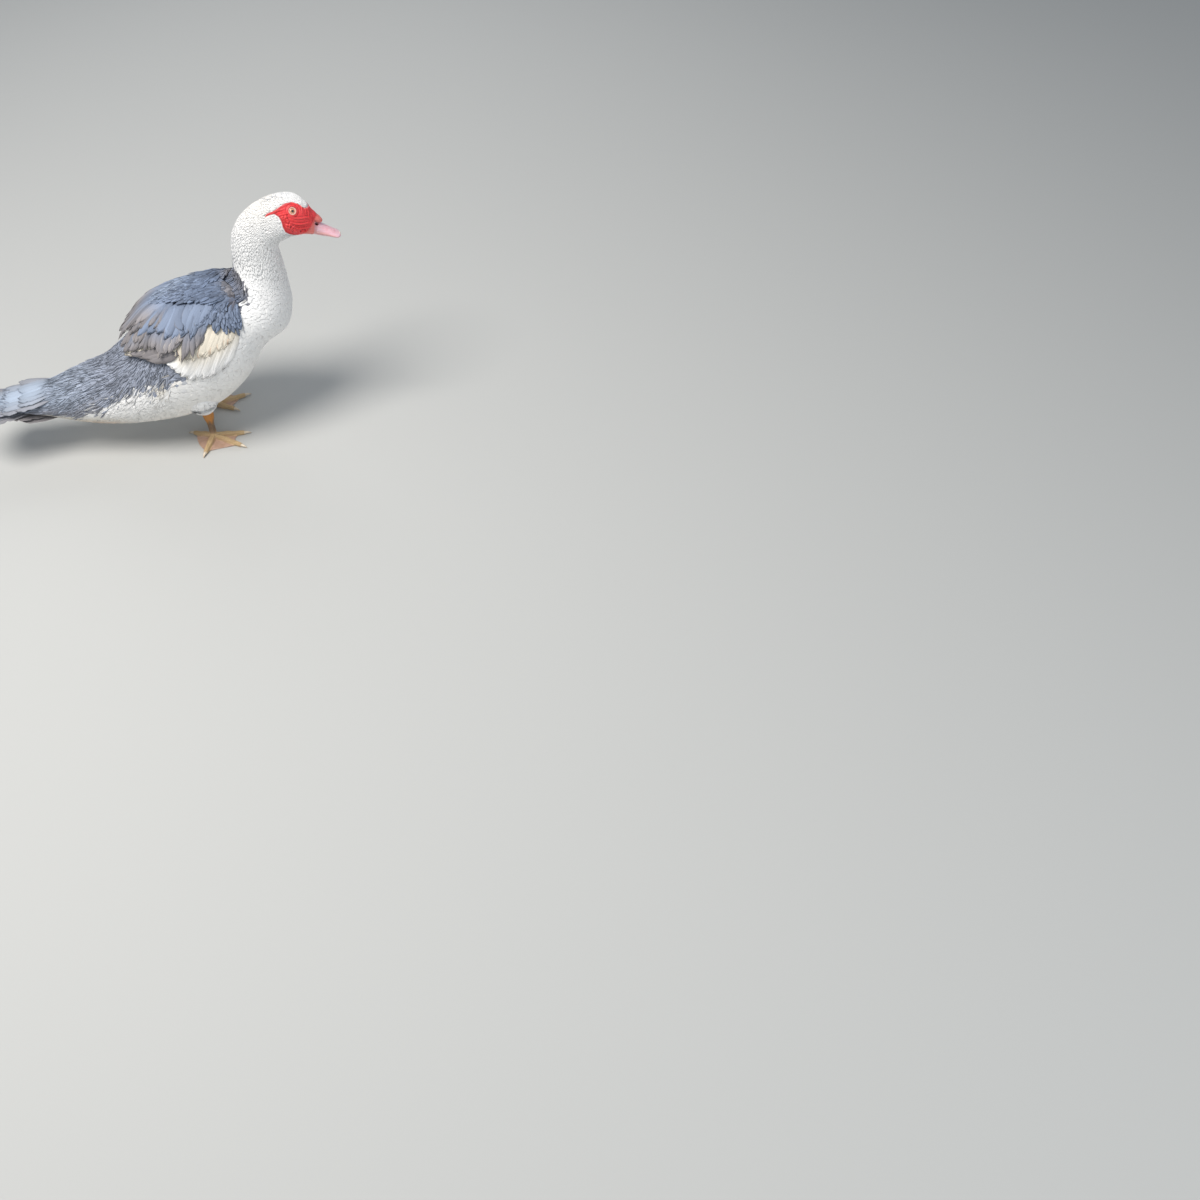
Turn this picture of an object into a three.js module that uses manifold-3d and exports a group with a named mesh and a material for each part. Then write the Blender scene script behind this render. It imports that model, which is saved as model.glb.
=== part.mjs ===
// A standing muscovy drake at life size, with his head up and his tail held level.
// Millimetres. +X towards the bill, +Y to his left, +Z up, with the soles on the ground at z = 0.
import * as THREE from "three";
import { mergeVertices } from "three/addons/utils/BufferGeometryUtils.js";
import Module from "manifold-3d";

const wasm = await Module();
wasm.setup();

const GAP = 0.3; // clearance between neighbouring pieces
const GRID = 0.001; // the steps that finished points are rounded to
const sides = { right: -1, left: 1 };

// Plumage, skin and horn
const finish = {
  whiteFeather: { color: "#ebe7df", roughness: 0.85 },
  greyFeather: { color: "#8d909c", roughness: 0.8 },
  redSkin: { color: "#d8323a", roughness: 0.45 },
  pinkHorn: { color: "#dba3a4", roughness: 0.4 },
  iris: { color: "#c9b994", roughness: 0.15 },
  legSkin: { color: "#a06c3c", roughness: 0.6 },
  webSkin: { color: "#b98a72", roughness: 0.6 },
  claw: { color: "#cfc3ae", roughness: 0.4 },
};

// Cross-sections from the tail root to the face. Each runs from a point on the back line to a point on
// the belly line, and is widest at the share `wide` of the way down.
const sections = [
  { at: "tail root", back: [-226, 124], belly: [-226, 64], half: 43, wide: 0.5 },
  { at: "rump", back: [-182, 140], belly: [-186, 50], half: 54, wide: 0.52 },
  { at: "vent", back: [-140, 152], belly: [-142, 43], half: 66, wide: 0.53 },
  { at: "hips", back: [-106, 174], belly: [-106, 41], half: 77, wide: 0.53 },
  { at: "loin", back: [-76, 198], belly: [-70, 41], half: 86, wide: 0.52 },
  { at: "mid back", back: [-34, 232], belly: [-25, 43], half: 93, wide: 0.5 },
  { at: "shoulder blades", back: [17, 254], belly: [29, 60], half: 96, wide: 0.5 },
  { at: "shoulders", back: [58, 263], belly: [79, 99], half: 89, wide: 0.5 },
  { at: "crop", back: [82, 268], belly: [117, 151], half: 73.5, wide: 0.52 },
  { at: "breast", back: [91, 275], belly: [159, 178], half: 64, wide: 0.54 },
  { at: "neck base", back: [93.5, 286], belly: [172.5, 213], half: 51, wide: 0.54 },
  { at: "lower neck", back: [95, 300], belly: [173, 248], half: 41, wide: 0.52 },
  { at: "upper neck", back: [97, 318], belly: [171, 284], half: 34, wide: 0.5 },
  { at: "throat", back: [103.5, 342], belly: [169, 309], half: 30, wide: 0.5 },
  { at: "nape", back: [120, 365.5], belly: [173, 319], half: 28.5, wide: 0.52 },
  { at: "back of the head", back: [146, 384], belly: [180, 322], half: 28, wide: 0.54 },
  { at: "crown", back: [178, 394.5], belly: [190, 325.5], half: 27.5, wide: 0.55 },
  { at: "brow", back: [206, 392], belly: [203, 327.5], half: 25, wide: 0.55 },
  { at: "forehead", back: [223, 375], belly: [214, 327], half: 20.5, wide: 0.5 },
  { at: "bill root", back: [232, 356], belly: [225, 324], half: 14.5, wide: 0.5 },
];
const headEnd = sections.length - 1;
const torsoEnd = 10.5;
const neckEnd = 13.3;

// The folded wing, from the shoulder to its tip. upper and lower are its edges, as a station along the
// body and an angle down from the back line, and height is how far its middle stands off the body.
const wingSpan = [
  { upper: [8.25, 0.6], lower: [8.0, 1.04], height: 1.2 },
  { upper: [7.5, 0.24], lower: [7.3, 1.34], height: 2.6 },
  { upper: [6.4, 0.06], lower: [6.2, 1.43], height: 4.6 },
  { upper: [5.5, 0.03], lower: [5.4, 1.36], height: 11 },
  { upper: [4.7, 0.03], lower: [4.7, 0.96], height: 14.5 },
  { upper: [3.8, 0.05], lower: [3.9, 0.68], height: 12 },
  { upper: [3.1, 0.16], lower: [3.1, 0.46], height: 7 },
  { upper: [2.6, 0.26], lower: [2.6, 0.44], height: 2 },
];

// Feathers of the wing. A lane runs from its top to its foot, and a tier's feathers take the same stretch
// of every lane. lift is how far feathers stand off the wing's own surface, of which share counts.
const wing = {
  thick: 0.7, tilt: -0.09, sunk: 2, least: 0.6,
  crest: { share: 0.45, from: 0.2, over: 0.6, most: 0.92 },
  base: { along: 0.84, down: 0.8, least: 2.8, under: -1.5 },
  lanes: 6, laneWidth: 34,
  laneTops: [[0.08, 0.08], [0.4, 0.06]],
  laneFeet: [[0.13, 1.04], [0.68, 1.0]],
  tiers: [
    { from: 0.46, to: 1.0, lift: 1.3, rows: 3 }, // secondaries
    { from: 0.24, to: 0.76, lift: 3.3, rows: 3 }, // greater coverts
    { from: 0.02, to: 0.5, lift: 5.3, rows: 3 }, // median coverts
  ],
  primaries: {
    count: 5, width: 19, share: 0.12, lift: [1.4, 4],
    roots: [[0.56, 0.7], [0.62, 0.42]],
    tips: [[0.74, 0.98], [0.93, 0.5]],
  },
  tertials: {
    count: 3, width: 34, share: 1, lift: [7.4, 7.4],
    roots: [[0.48, 0.42], [0.5, 0.1]],
    tips: [[0.75, 0.6], [0.87, 0.14]],
  },
};

// The face in side view: the edge of the bare red skin, the eye, the knob over the bill and the nostril
const maskEdge = [
  [158, 371.5], [163.5, 378], [173.5, 380.5], [184, 384], [192.5, 386.8], [204, 386.8], [212, 382.5],
  [218, 376.5], [226, 374], [262, 374], [262, 300], [206, 300], [203, 329], [196, 334], [189, 339.5],
  [184.3, 345], [182, 354], [181.3, 364], [180, 370.5], [176, 374.8], [168, 374.8],
];
const eye = { station: 16.78, angle: 1.03, radius: 6.5, sunk: 4.9, lid: 1.2, lidRing: 4.9 };
const caruncle = {
  bulbs: 7, size: [1.9, 3.1], edge: [[16, 1.25], [16, 1.6], [16.15, 1.95], [16.8, 2.12], [18, 2.1]],
  folds: [
    { from: [16.5, 1.35], to: [18.3, 1.15], sag: 0.14, thick: 1.9 },
    { from: [16.7, 1.75], to: [18.4, 1.6], sag: 0.1, thick: 2.1 },
  ],
};
const knob = { x: 231.5, z: 351.5, long: 14.5, high: 5.4, wide: 9.2, tilt: 40 };
const nostril = { x: 233.4, y: 6.6, z: 341.6, long: 3.6, high: 1.7, deep: 2.6 };

// The bill from its root to its tip: [culmen, mouth line, underside, half width] as points in side view
const billSpan = [
  { culmen: [224, 350.5], mouth: [215.5, 335.2], under: [216, 330], half: 9 },
  { culmen: [236, 342], mouth: [228, 330.2], under: [228, 324.4], half: 11.4 },
  { culmen: [246, 335], mouth: [239, 325.6], under: [240, 320.2], half: 11.3 },
  { culmen: [253.5, 329.2], mouth: [249, 322.4], under: [251, 317.4], half: 12 },
  { culmen: [260, 323.9], mouth: [257, 319.4], under: [258, 315.6], half: 12.8 },
  { culmen: [265.3, 320], mouth: [263, 317.4], under: [263, 315], half: 11.8 },
  { culmen: [267.5, 317.4], mouth: [266.8, 316.4], under: [265.4, 314.9], half: 6.5 },
];

// Tail: its quills in a fan over a flattened root
const tail = {
  root: [-226, 94],
  base: { length: 62, half: [42.6, 34], high: [29.7, 4.5], rise: 6 },
  quill: { from: 40, apart: 4.4, over: 8, fall: 1.5 },
  quills: 12, length: 146, outerLength: 112, width: 24, spread: 13, tilt: 0.06, thick: 0.9,
  coverts: [
    { count: 5, from: 28, length: 66, over: 19, under: 14, reach: 28 },
    { count: 5, from: 6, length: 58, over: 27, under: 20, reach: 28 },
    { count: 4, from: 20, length: 68, over: -17, under: -5, reach: 28 },
  ],
};

// Legs. Each toe has a direction in degrees from straight ahead and a length up to its claw. The skin
// of the right foot also spreads between its outer and its hind toe.
const legs = {
  right: {
    ball: [-2, -46], hock: [-1.5, -46.5, 55], flap: true,
    toes: [[-5, 51], [-41, 58], [-110, 46]], hind: [152, 36],
  },
  left: {
    ball: [4, 45], hock: [0, 45.5, 56], flap: false,
    toes: [[-35, 39], [15, 54], [76, 50]], hind: [-170, 22],
  },
};
const toe = { root: 6, tip: 3.8, axis: 4.2, drop: 0.6, swell: [1, 0.9, 1.04, 0.86, 0.92] };
const webbing = { thick: 2, reach: 0.86, scallop: 0.2 };
const claw = { length: 12.5, sunk: 1, arc: [3.1, 3.7, 2.7, 1], radii: [2.7, 2.1, 1.3, 0.4] };
const thighShape = { hip: [-6, 57, 122], bulge: 9, knee: 37, end: 12, over: 0.5 };
const shank = { top: 8.2, hock: 0.9, middle: 5.9, bottom: 6.6, joint: 9 };
const ankle = { wide: 7.4, high: 7, centre: 5 };

const lerp = THREE.MathUtils.lerp;
const rad = THREE.MathUtils.degToRad;
const v3 = (x, y, z) => new THREE.Vector3(x, y, z);
const heading = (degrees) => v3(Math.cos(rad(degrees)), Math.sin(rad(degrees)), 0);

function seeded(seed) {
  let state = seed;
  return () => {
    state = (state * 1664525 + 1013904223) % 4294967296;
    return state / 4294967296;
  };
}

// The skin as a function of the station along the body and the angle down from the back line
const curveThrough = (pick) => new THREE.CatmullRomCurve3(sections.map(pick), false, "catmullrom", 0.5);
const backCurve = curveThrough((s) => v3(s.back[0], 0, s.back[1]));
const bellyCurve = curveThrough((s) => v3(s.belly[0], 0, s.belly[1]));
const girthCurve = curveThrough((s) => v3(s.half, s.wide, 0));

function section(station) {
  const t = THREE.MathUtils.clamp(station / headEnd, 0, 1);
  const back = backCurve.getPoint(t);
  const belly = bellyCurve.getPoint(t);
  const girth = girthCurve.getPoint(t);
  return { back, belly, middle: back.clone().lerp(belly, girth.y), half: girth.x };
}

function skinPoint(station, angle) {
  const { back, belly, middle, half } = section(station);
  const c = Math.cos(angle);
  const point = middle.clone().lerp(c > 0 ? back : belly, Math.abs(c));
  point.y = half * Math.sin(angle);
  return point;
}

function skinSlopes(station, angle) {
  const e = 0.02;
  const low = Math.max(station - e, 0);
  const high = Math.min(station + e, headEnd);
  const along = skinPoint(high, angle).sub(skinPoint(low, angle)).divideScalar(high - low);
  const round = skinPoint(station, angle + e).sub(skinPoint(station, angle - e)).divideScalar(2 * e);
  return { along, round };
}

function skinNormal(station, angle) {
  const { along, round } = skinSlopes(station, angle);
  return along.cross(round).normalize();
}

const overSkin = (station, angle, height) =>
  skinPoint(station, angle).addScaledVector(skinNormal(station, angle), height);

// Geometry helpers
function geometryOf(points, triangles) {
  const geometry = new THREE.BufferGeometry();
  const flat = points.flatMap((p) => [p.x, p.y, p.z]);
  geometry.setAttribute("position", new THREE.Float32BufferAttribute(flat, 3));
  geometry.setIndex(triangles.flat());
  return geometry;
}

// A closed tube through rings of points, with a fan over each end.
function loft(rings) {
  const count = rings[0].length;
  const points = rings.flat();
  const triangles = [];
  for (let i = 0; i + 1 < rings.length; i++)
    for (let j = 0; j < count; j++) {
      const k = (j + 1) % count;
      const [a, b, c, d] = [i * count + j, i * count + k, (i + 1) * count + j, (i + 1) * count + k];
      triangles.push([a, b, d], [a, d, c]);
    }
  const middleOf = (ring) => ring.reduce((sum, p) => sum.add(p), v3(0, 0, 0)).divideScalar(count);
  const first = points.push(middleOf(rings[0])) - 1;
  const last = points.push(middleOf(rings[rings.length - 1])) - 1;
  const top = (rings.length - 1) * count;
  for (let j = 0; j < count; j++) {
    const k = (j + 1) % count;
    triangles.push([first, k, j], [last, top + j, top + k]);
  }
  return solid(geometryOf(points, triangles));
}

// A closed plate. faceAt gives the point on its top and the one under it, and both faces are split alike.
function plate(rows, columns, faceAt) {
  const points = [];
  const triangles = [];
  const at = (i, j, under) => 2 * (i * (columns + 1) + j) + under;
  const quad = (a, b, c, d) => triangles.push([a, b, c], [a, c, d]);
  for (let i = 0; i <= rows; i++)
    for (let j = 0; j <= columns; j++) points.push(...faceAt(i / rows, j / columns));
  for (let i = 0; i < rows; i++)
    for (let j = 0; j < columns; j++) {
      quad(at(i, j, 0), at(i + 1, j, 0), at(i + 1, j + 1, 0), at(i, j + 1, 0));
      triangles.push([at(i, j, 1), at(i + 1, j + 1, 1), at(i + 1, j, 1)]);
      triangles.push([at(i, j, 1), at(i, j + 1, 1), at(i + 1, j + 1, 1)]);
    }
  for (let i = 0; i < rows; i++) {
    quad(at(i, 0, 0), at(i, 0, 1), at(i + 1, 0, 1), at(i + 1, 0, 0));
    quad(at(i + 1, columns, 0), at(i + 1, columns, 1), at(i, columns, 1), at(i, columns, 0));
  }
  for (let j = 0; j < columns; j++) {
    quad(at(0, j + 1, 0), at(0, j + 1, 1), at(0, j, 1), at(0, j, 0));
    quad(at(rows, j, 0), at(rows, j, 1), at(rows, j + 1, 1), at(rows, j + 1, 0));
  }
  return solid(geometryOf(points, triangles));
}

function solid(geometry, tolerance = 1e-4) {
  const bare = geometry.clone();
  bare.deleteAttribute("normal");
  bare.deleteAttribute("uv");
  const merged = mergeVertices(bare, tolerance);
  const mesh = new wasm.Mesh({
    numProp: 3,
    vertProperties: new Float32Array(merged.attributes.position.array),
    triVerts: new Uint32Array(merged.index.array),
  });
  const made = new wasm.Manifold(mesh);
  if (made.volume() > 0) return made;
  const { triVerts } = mesh;
  for (let i = 0; i < triVerts.length; i += 3)
    [triVerts[i + 1], triVerts[i + 2]] = [triVerts[i + 2], triVerts[i + 1]];
  return new wasm.Manifold(mesh);
}

const joined = (pieces) => pieces.reduce((sum, piece) => sum.add(piece));
const cutBy = (piece, cutters) => cutters.reduce((rest, cutter) => rest.subtract(cutter), piece);

function ball(centre, radii, { around = 12, down = 8, tilt = 0 } = {}) {
  const geometry = new THREE.SphereGeometry(1, around, down).scale(...radii);
  return solid(geometry.rotateY(rad(tilt)).translate(...centre));
}

// A prism across the body over an outline in side view
function prism(outline, half = 60) {
  const shape = new THREE.Shape(outline.map(([x, z]) => new THREE.Vector2(x, z)));
  const geometry = new THREE.ExtrudeGeometry(shape, { depth: 2 * half, bevelEnabled: false });
  return solid(geometry.rotateX(Math.PI / 2).translate(0, half, 0));
}

// An outline moved in by a distance, or out by a negative one
function inset(outline, distance) {
  const area = outline.reduce((sum, [x, z], i) => {
    const [u, w] = outline[(i + 1) % outline.length];
    return sum + x * w - u * z;
  }, 0);
  return outline.map(([x, z], i) => {
    const [px, pz] = outline[(i + outline.length - 1) % outline.length];
    const [nx, nz] = outline[(i + 1) % outline.length];
    const before = new THREE.Vector2(z - pz, px - x).normalize();
    const after = new THREE.Vector2(nz - z, x - nx).normalize();
    const out = before.clone().add(after).normalize();
    const reach = (Math.sign(area) * -distance) / Math.max(out.dot(after), 0.5);
    return [x + out.x * reach, z + out.y * reach];
  });
}

const bird = new THREE.Group();

// The largest closed surface of a solid, as a geometry with its points on a fine grid
function largestSurface(made) {
  const body = made.decompose().reduce((best, piece) => (piece.volume() > best.volume() ? piece : best));
  const { vertProperties, triVerts } = body.getMesh();
  const points = Float32Array.from(vertProperties, (value) => Math.round(value / GRID) * GRID);
  const geometry = new THREE.BufferGeometry();
  geometry.setAttribute("position", new THREE.BufferAttribute(points, 3));
  geometry.setIndex(new THREE.BufferAttribute(new Uint32Array(triVerts), 1));
  return geometry;
}

// Points that the grid brings together may part a thin neck, so the largest surface is taken again.
function addNode(name, made, look) {
  const geometry = largestSurface(solid(largestSurface(made), GRID));
  geometry.computeVertexNormals();
  const mesh = new THREE.Mesh(geometry, new THREE.MeshStandardMaterial({ ...finish[look], metalness: 0 }));
  mesh.name = name;
  bird.add(mesh);
}

// Body, neck and head are lengths of one skin, parted by flat cuts.
function bodyPart(from, to, { steps, around = 28, grow = 0, startGap = 0 }) {
  const rings = [];
  for (let i = 0; i <= steps; i++) {
    const station = lerp(from, to, i / steps);
    rings.push(Array.from({ length: around }, (_, j) => overSkin(station, (2 * Math.PI * j) / around, grow)));
  }
  if (startGap) {
    const { back, belly, middle } = section(from);
    const forward = v3(0, 1, 0).cross(belly.clone().sub(back)).normalize();
    if (forward.dot(section(from + 0.1).middle.sub(middle)) < 0) forward.negate();
    rings[0].forEach((p) => p.addScaledVector(forward, startGap));
  }
  return loft(rings);
}

const torsoSteps = 19;
const torso = bodyPart(0, torsoEnd, { steps: torsoSteps });
const torsoAndGap = bodyPart(0, torsoEnd, { steps: torsoSteps, grow: GAP });

// A wing lies against the body from just beside the back line down to its lower edge. Places on it are
// given along it, from the shoulder to the tip, and down it. It is thickest at its middle.
const wingCurve = (pick) => new THREE.CatmullRomCurve3(wingSpan.map(pick), false, "catmullrom", 0.5);
const wingUpper = wingCurve(({ upper }) => v3(...upper, 0));
const wingLower = wingCurve(({ lower }) => v3(...lower, 0));
const wingHeight = wingCurve(({ height }) => v3(height, 0, 0));

function onWing(along, down) {
  const t = THREE.MathUtils.clamp(along, 0, 1);
  const spot = wingUpper.getPoint(t).lerp(wingLower.getPoint(t), down);
  const { share, from, over, most } = wing.crest;
  const crest = lerp(share, 1, Math.sin(Math.PI * Math.min(most, from + over * Math.max(down, 0))));
  return { station: spot.x, angle: spot.y, height: wingHeight.getPoint(t).x * crest };
}

function wingPoint(side, along, down, heightOf) {
  const { station, angle, height } = onWing(along, down);
  const p = overSkin(station, angle, heightOf(height));
  return v3(p.x, p.y * side, p.z);
}

function wingBase(side) {
  const { along, down } = wing.base;
  return plate(8, 5, (row, across) => {
    const edge = Math.min(1, 4 * Math.min(across + 0.12, 1.08 - across, row + 0.1, 1.06 - row));
    const top = (height) => Math.max(height * edge, wing.base.least);
    return [top, () => wing.base.under].map((heightOf) => wingPoint(side, row * along, across * down, heightOf));
  });
}

// A feather that lies on the folded wing from its root to its tip, lift above the wing's own surface. Its
// root is sunk, and it is tilted so that its front edge is raised.
function wingFeather(side, { root, tip, share, lift, width, rows = 4, bow = 0 }) {
  const skinAt = (along, down) => {
    const { station, angle } = onWing(along, down);
    return skinPoint(station, angle);
  };
  const axis = (t) => [lerp(root[0], tip[0], t) + bow * Math.sin(Math.PI * t), lerp(root[1], tip[1], t)];
  const e = 0.01;
  return plate(rows, 2, (row, across) => {
    const t = 1 - (1 - row) ** 1.25;
    const [along, down] = axis(t);
    const ahead = skinAt(...axis(t + e)).sub(skinAt(...axis(t - e))).normalize();
    const slopeA = skinAt(along + e, down).sub(skinAt(along - e, down)).divideScalar(2 * e);
    const slopeD = skinAt(along, down + e).sub(skinAt(along, down - e)).divideScalar(2 * e);
    const beside = slopeA.clone().cross(slopeD).normalize().cross(ahead);
    const shift = (across - 0.5) * width * featherWidth(row, t);
    const [aa, ad, dd] = [slopeA.dot(slopeA), slopeA.dot(slopeD), slopeD.dot(slopeD)];
    const [ba, bd] = [beside.dot(slopeA) * shift, beside.dot(slopeD) * shift];
    const det = aa * dd - ad * ad;
    const spot = [along + (ba * dd - bd * ad) / det, down + (bd * aa - ba * ad) / det];
    const rise = (row === 0 ? -wing.sunk : lift) + wing.tilt * shift;
    const flat = wing.thick * lerp(1, 0.7, t);
    const over = (height) => Math.max(share * height + rise, wing.least);
    return [flat, 0].map((h) => wingPoint(side, ...spot, (height) => over(height) + h));
  });
}

// The share of a feather's full width, from its narrow root to its blunt tip
const featherWidth = (row, t) => (row < 1 ? 0.4 + 0.6 * Math.sin(Math.PI * Math.min(0.5, 0.75 * t)) : 0.3);

// Lanes of feathers run down the wing, and in each lane the coverts lie over the roots of the next longer
// feathers. The wing tip comes out from under the last lanes, and the tertials lie over them.
function wingFeathers(side) {
  const random = seeded(side + 5);
  const stray = (size) => size * (random() - 0.5);
  const between = ([from, to], t) => from.map((value, k) => lerp(value, to[k], t));
  const made = [];
  for (let i = 0; i < wing.lanes; i++) {
    const t = i / (wing.lanes - 1);
    const [top, foot] = [between(wing.laneTops, t), between(wing.laneFeet, t)];
    for (const { from, to, lift, rows } of wing.tiers) {
      const [root, tip] = [from, to + stray(0.07)].map((reach) => between([top, foot], reach));
      made.push(wingFeather(side, { root, tip, share: 1, lift, width: wing.laneWidth, rows, bow: 0.008 }));
    }
  }
  for (const { count, tips, roots, share, lift, width } of [wing.primaries, wing.tertials])
    for (let i = 0; i < count; i++) {
      const t = i / (count - 1);
      const [root, tip] = [between(roots, t), between(tips, t)];
      made.push(wingFeather(side, { root, tip, share, lift: lerp(...lift, t), width }));
    }
  return made;
}

const middleGap = solid(new THREE.BoxGeometry(900, 2 * GAP, 900));

function makeWing(name, side) {
  const whole = joined([wingBase(side), ...wingFeathers(side)]);
  addNode(`wing_${name}`, cutBy(whole, [torsoAndGap, middleGap]), "greyFeather");
}

// The tail: a flattened root that carries the fan
function tailBase() {
  const [x, z] = tail.root;
  const { base } = tail;
  const rings = [];
  for (let i = 0; i <= 6; i++) {
    const t = i / 6;
    const half = lerp(...base.half, t);
    const high = lerp(...base.high, t);
    const middle = z + base.rise * t;
    const ring = [];
    for (let j = 0; j < 24; j++) {
      const angle = (2 * Math.PI * j) / 24;
      ring.push(v3(x - GAP - base.length * t, half * Math.sin(angle), middle + high * Math.cos(angle)));
    }
    rings.push(ring);
  }
  return loft(rings);
}

// A feather of the tail, behind its root, with its outer edge raised
function tailFeather({ root, turn, length, width, fall = 0, side }) {
  const ahead = heading(180 - turn);
  const beside = v3(-ahead.y, ahead.x, 0);
  return plate(3, 2, (row, across) => {
    const t = 1 - (1 - row) ** 1.3;
    const shift = (across - 0.5) * width * featherWidth(row, t);
    const p = root.clone().addScaledVector(ahead, length * t).addScaledVector(beside, shift);
    p.z -= fall * t + tail.tilt * shift * side;
    const flat = tail.thick * lerp(1, 0.7, t);
    return [p.clone().setZ(p.z + flat), p];
  });
}

function tailFan() {
  const [x, z] = tail.root;
  const { quill } = tail;
  const made = [];
  for (let i = 0; i < tail.quills; i++) {
    const out = i - (tail.quills - 1) / 2;
    const share = Math.abs(out) / (tail.quills / 2);
    made.push(
      tailFeather({
        root: v3(x - quill.from, out * quill.apart, z + quill.over - quill.fall * Math.abs(out)),
        turn: (out * tail.spread) / (tail.quills / 2),
        length: lerp(tail.length, tail.outerLength, share ** 2) - quill.from,
        width: tail.width,
        side: Math.sign(out),
      }),
    );
  }
  // coverts above and below, which close the step from the rump to the fan
  for (const { count, from, length, over, under, reach } of tail.coverts)
    for (let i = 0; i < count; i++) {
      const out = i - (count - 1) / 2;
      made.push(
        tailFeather({
          root: v3(x - from, (out * 2 * reach) / count, z + over - Math.abs(out) * 1.6 * Math.sign(over)),
          turn: out * 2.2,
          length,
          width: tail.width,
          fall: over - under,
          side: Math.sign(out) * Math.sign(over),
        }),
      );
    }
  return made;
}

addNode("torso", torso, "whiteFeather");
addNode("neck", bodyPart(torsoEnd, neckEnd, { steps: 5, startGap: GAP }), "whiteFeather");
addNode("tail", joined([tailBase(), ...tailFan()]), "greyFeather");
for (const [name, side] of Object.entries(sides)) makeWing(name, side);

// Upper and lower halves of the bill. grow makes the room that each takes up in the face.
const billCurve = (pick) => new THREE.CatmullRomCurve3(billSpan.map(pick), false, "catmullrom", 0.5);
const billLines = {
  culmen: billCurve(({ culmen }) => v3(culmen[0], 0, culmen[1])),
  mouth: billCurve(({ mouth }) => v3(mouth[0], 0, mouth[1])),
  under: billCurve(({ under }) => v3(under[0], 0, under[1])),
  half: billCurve(({ half }) => v3(half, 0, 0)),
};

function billHalf(upper, grow = 0) {
  const steps = 9;
  const arc = 8;
  const rings = [];
  for (let i = 0; i <= steps; i++) {
    const t = i / steps;
    const outer = (upper ? billLines.culmen : billLines.under).getPoint(t);
    const mouth = billLines.mouth.getPoint(t);
    const out = outer.clone().sub(mouth).normalize();
    const base = mouth.clone().addScaledVector(out, (upper ? 0 : GAP) - grow);
    const rise = outer.distanceTo(base) + grow;
    const half = billLines.half.getPoint(t).x - (upper ? 0 : 0.9) + grow;
    const ring = [];
    for (let j = 0; j <= arc; j++) {
      const angle = (Math.PI * j) / arc;
      const p = base.clone().addScaledVector(out, rise * Math.sin(angle) ** 0.8);
      p.y = half * Math.cos(angle);
      ring.push(p);
    }
    ring.push(base.clone());
    rings.push(ring);
  }
  rings[0].forEach((p) => p.add(v3(-grow, 0, grow / 3)));
  return loft(rings);
}

const upperBill = billHalf(true);
const lowerBill = billHalf(false);
const billRoom = [billHalf(true, GAP), billHalf(false, GAP)];

function nostrilPit(side) {
  const { x, y, z, long, high, deep } = nostril;
  return ball([x, side * (y + 1.6), z], [long, deep, high], { around: 10, down: 6, tilt: 24 });
}

// The eyes sit in sockets in the red skin.
function eyeSpot(side) {
  const normal = skinNormal(eye.station, eye.angle);
  const point = skinPoint(eye.station, eye.angle);
  const place = (depth) => {
    const p = point.clone().addScaledVector(normal, depth);
    return v3(p.x, p.y * side, p.z);
  };
  return { centre: place(-eye.sunk), outer: place(eye.radius - eye.sunk), rim: place(0.2) };
}

const eyeBall = (side, grow = 0) =>
  ball(eyeSpot(side).centre.toArray(), Array(3).fill(eye.radius + grow), { around: 12, down: 8 });

function lidRing(side) {
  const { centre, rim, outer } = eyeSpot(side);
  const ring = new THREE.TorusGeometry(eye.lidRing, eye.lid, 5, 12);
  const turn = new THREE.Quaternion().setFromUnitVectors(v3(0, 0, 1), outer.clone().sub(centre).normalize());
  return solid(ring.applyQuaternion(turn).translate(...rim.toArray()));
}

// Bulbs along the lower and hind edge of the bare skin, and folds of it under and behind the eye
function caruncles(side) {
  const random = seeded(side + 11);
  const made = [];
  const edge = new THREE.CatmullRomCurve3(caruncle.edge.map(([station, angle]) => v3(station, angle, 0)));
  for (let i = 0; i < caruncle.bulbs; i++) {
    const spot = edge.getPoint((i + 0.6 * random()) / caruncle.bulbs);
    const p = skinPoint(spot.x, spot.y + 0.16 * (random() - 0.5));
    const size = lerp(...caruncle.size, random());
    const radii = [size * 1.25, size * 0.95, size];
    made.push(ball([p.x, side * p.y, p.z], radii, { around: 6, down: 4, tilt: 60 * random() }));
  }
  for (const { from, to, sag, thick } of caruncle.folds) {
    const steps = [0, 0.25, 0.5, 0.75, 1];
    const points = steps.map((t) => {
      const angle = lerp(from[1], to[1], t) + sag * Math.sin(Math.PI * t);
      const p = skinPoint(lerp(from[0], to[0], t), angle);
      return v3(p.x, side * p.y, p.z);
    });
    made.push(tubeAlong(points, steps.map((t) => thick * (0.45 + 0.55 * Math.sin(Math.PI * t))), 6));
  }
  return made;
}

const headLoft = (grow) => bodyPart(neckEnd, headEnd, { steps: 13, grow, startGap: GAP });

addNode("head", cutBy(headLoft(0), [prism(inset(maskEdge, -GAP / 2))]), "whiteFeather");

const knobRadii = [knob.long, knob.wide, knob.high];
const knobBall = ball([knob.x, 0, knob.z], knobRadii, { around: 10, down: 7, tilt: knob.tilt });
const growths = Object.values(sides).flatMap((side) => [lidRing(side), ...caruncles(side)]);
const face = joined([headLoft(0.6), knobBall, ...growths]);
const eyeRoom = Object.values(sides).map((side) => eyeBall(side, GAP));
addNode(
  "face",
  cutBy(face.intersect(prism(inset(maskEdge, GAP / 2))), [...billRoom, ...eyeRoom]),
  "redSkin",
);
addNode("bill_upper", cutBy(upperBill, Object.values(sides).map(nostrilPit)), "pinkHorn");
addNode("bill_lower", lowerBill, "pinkHorn");
for (const [name, side] of Object.entries(sides)) addNode(`eye_${name}`, eyeBall(side), "iris");

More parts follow.
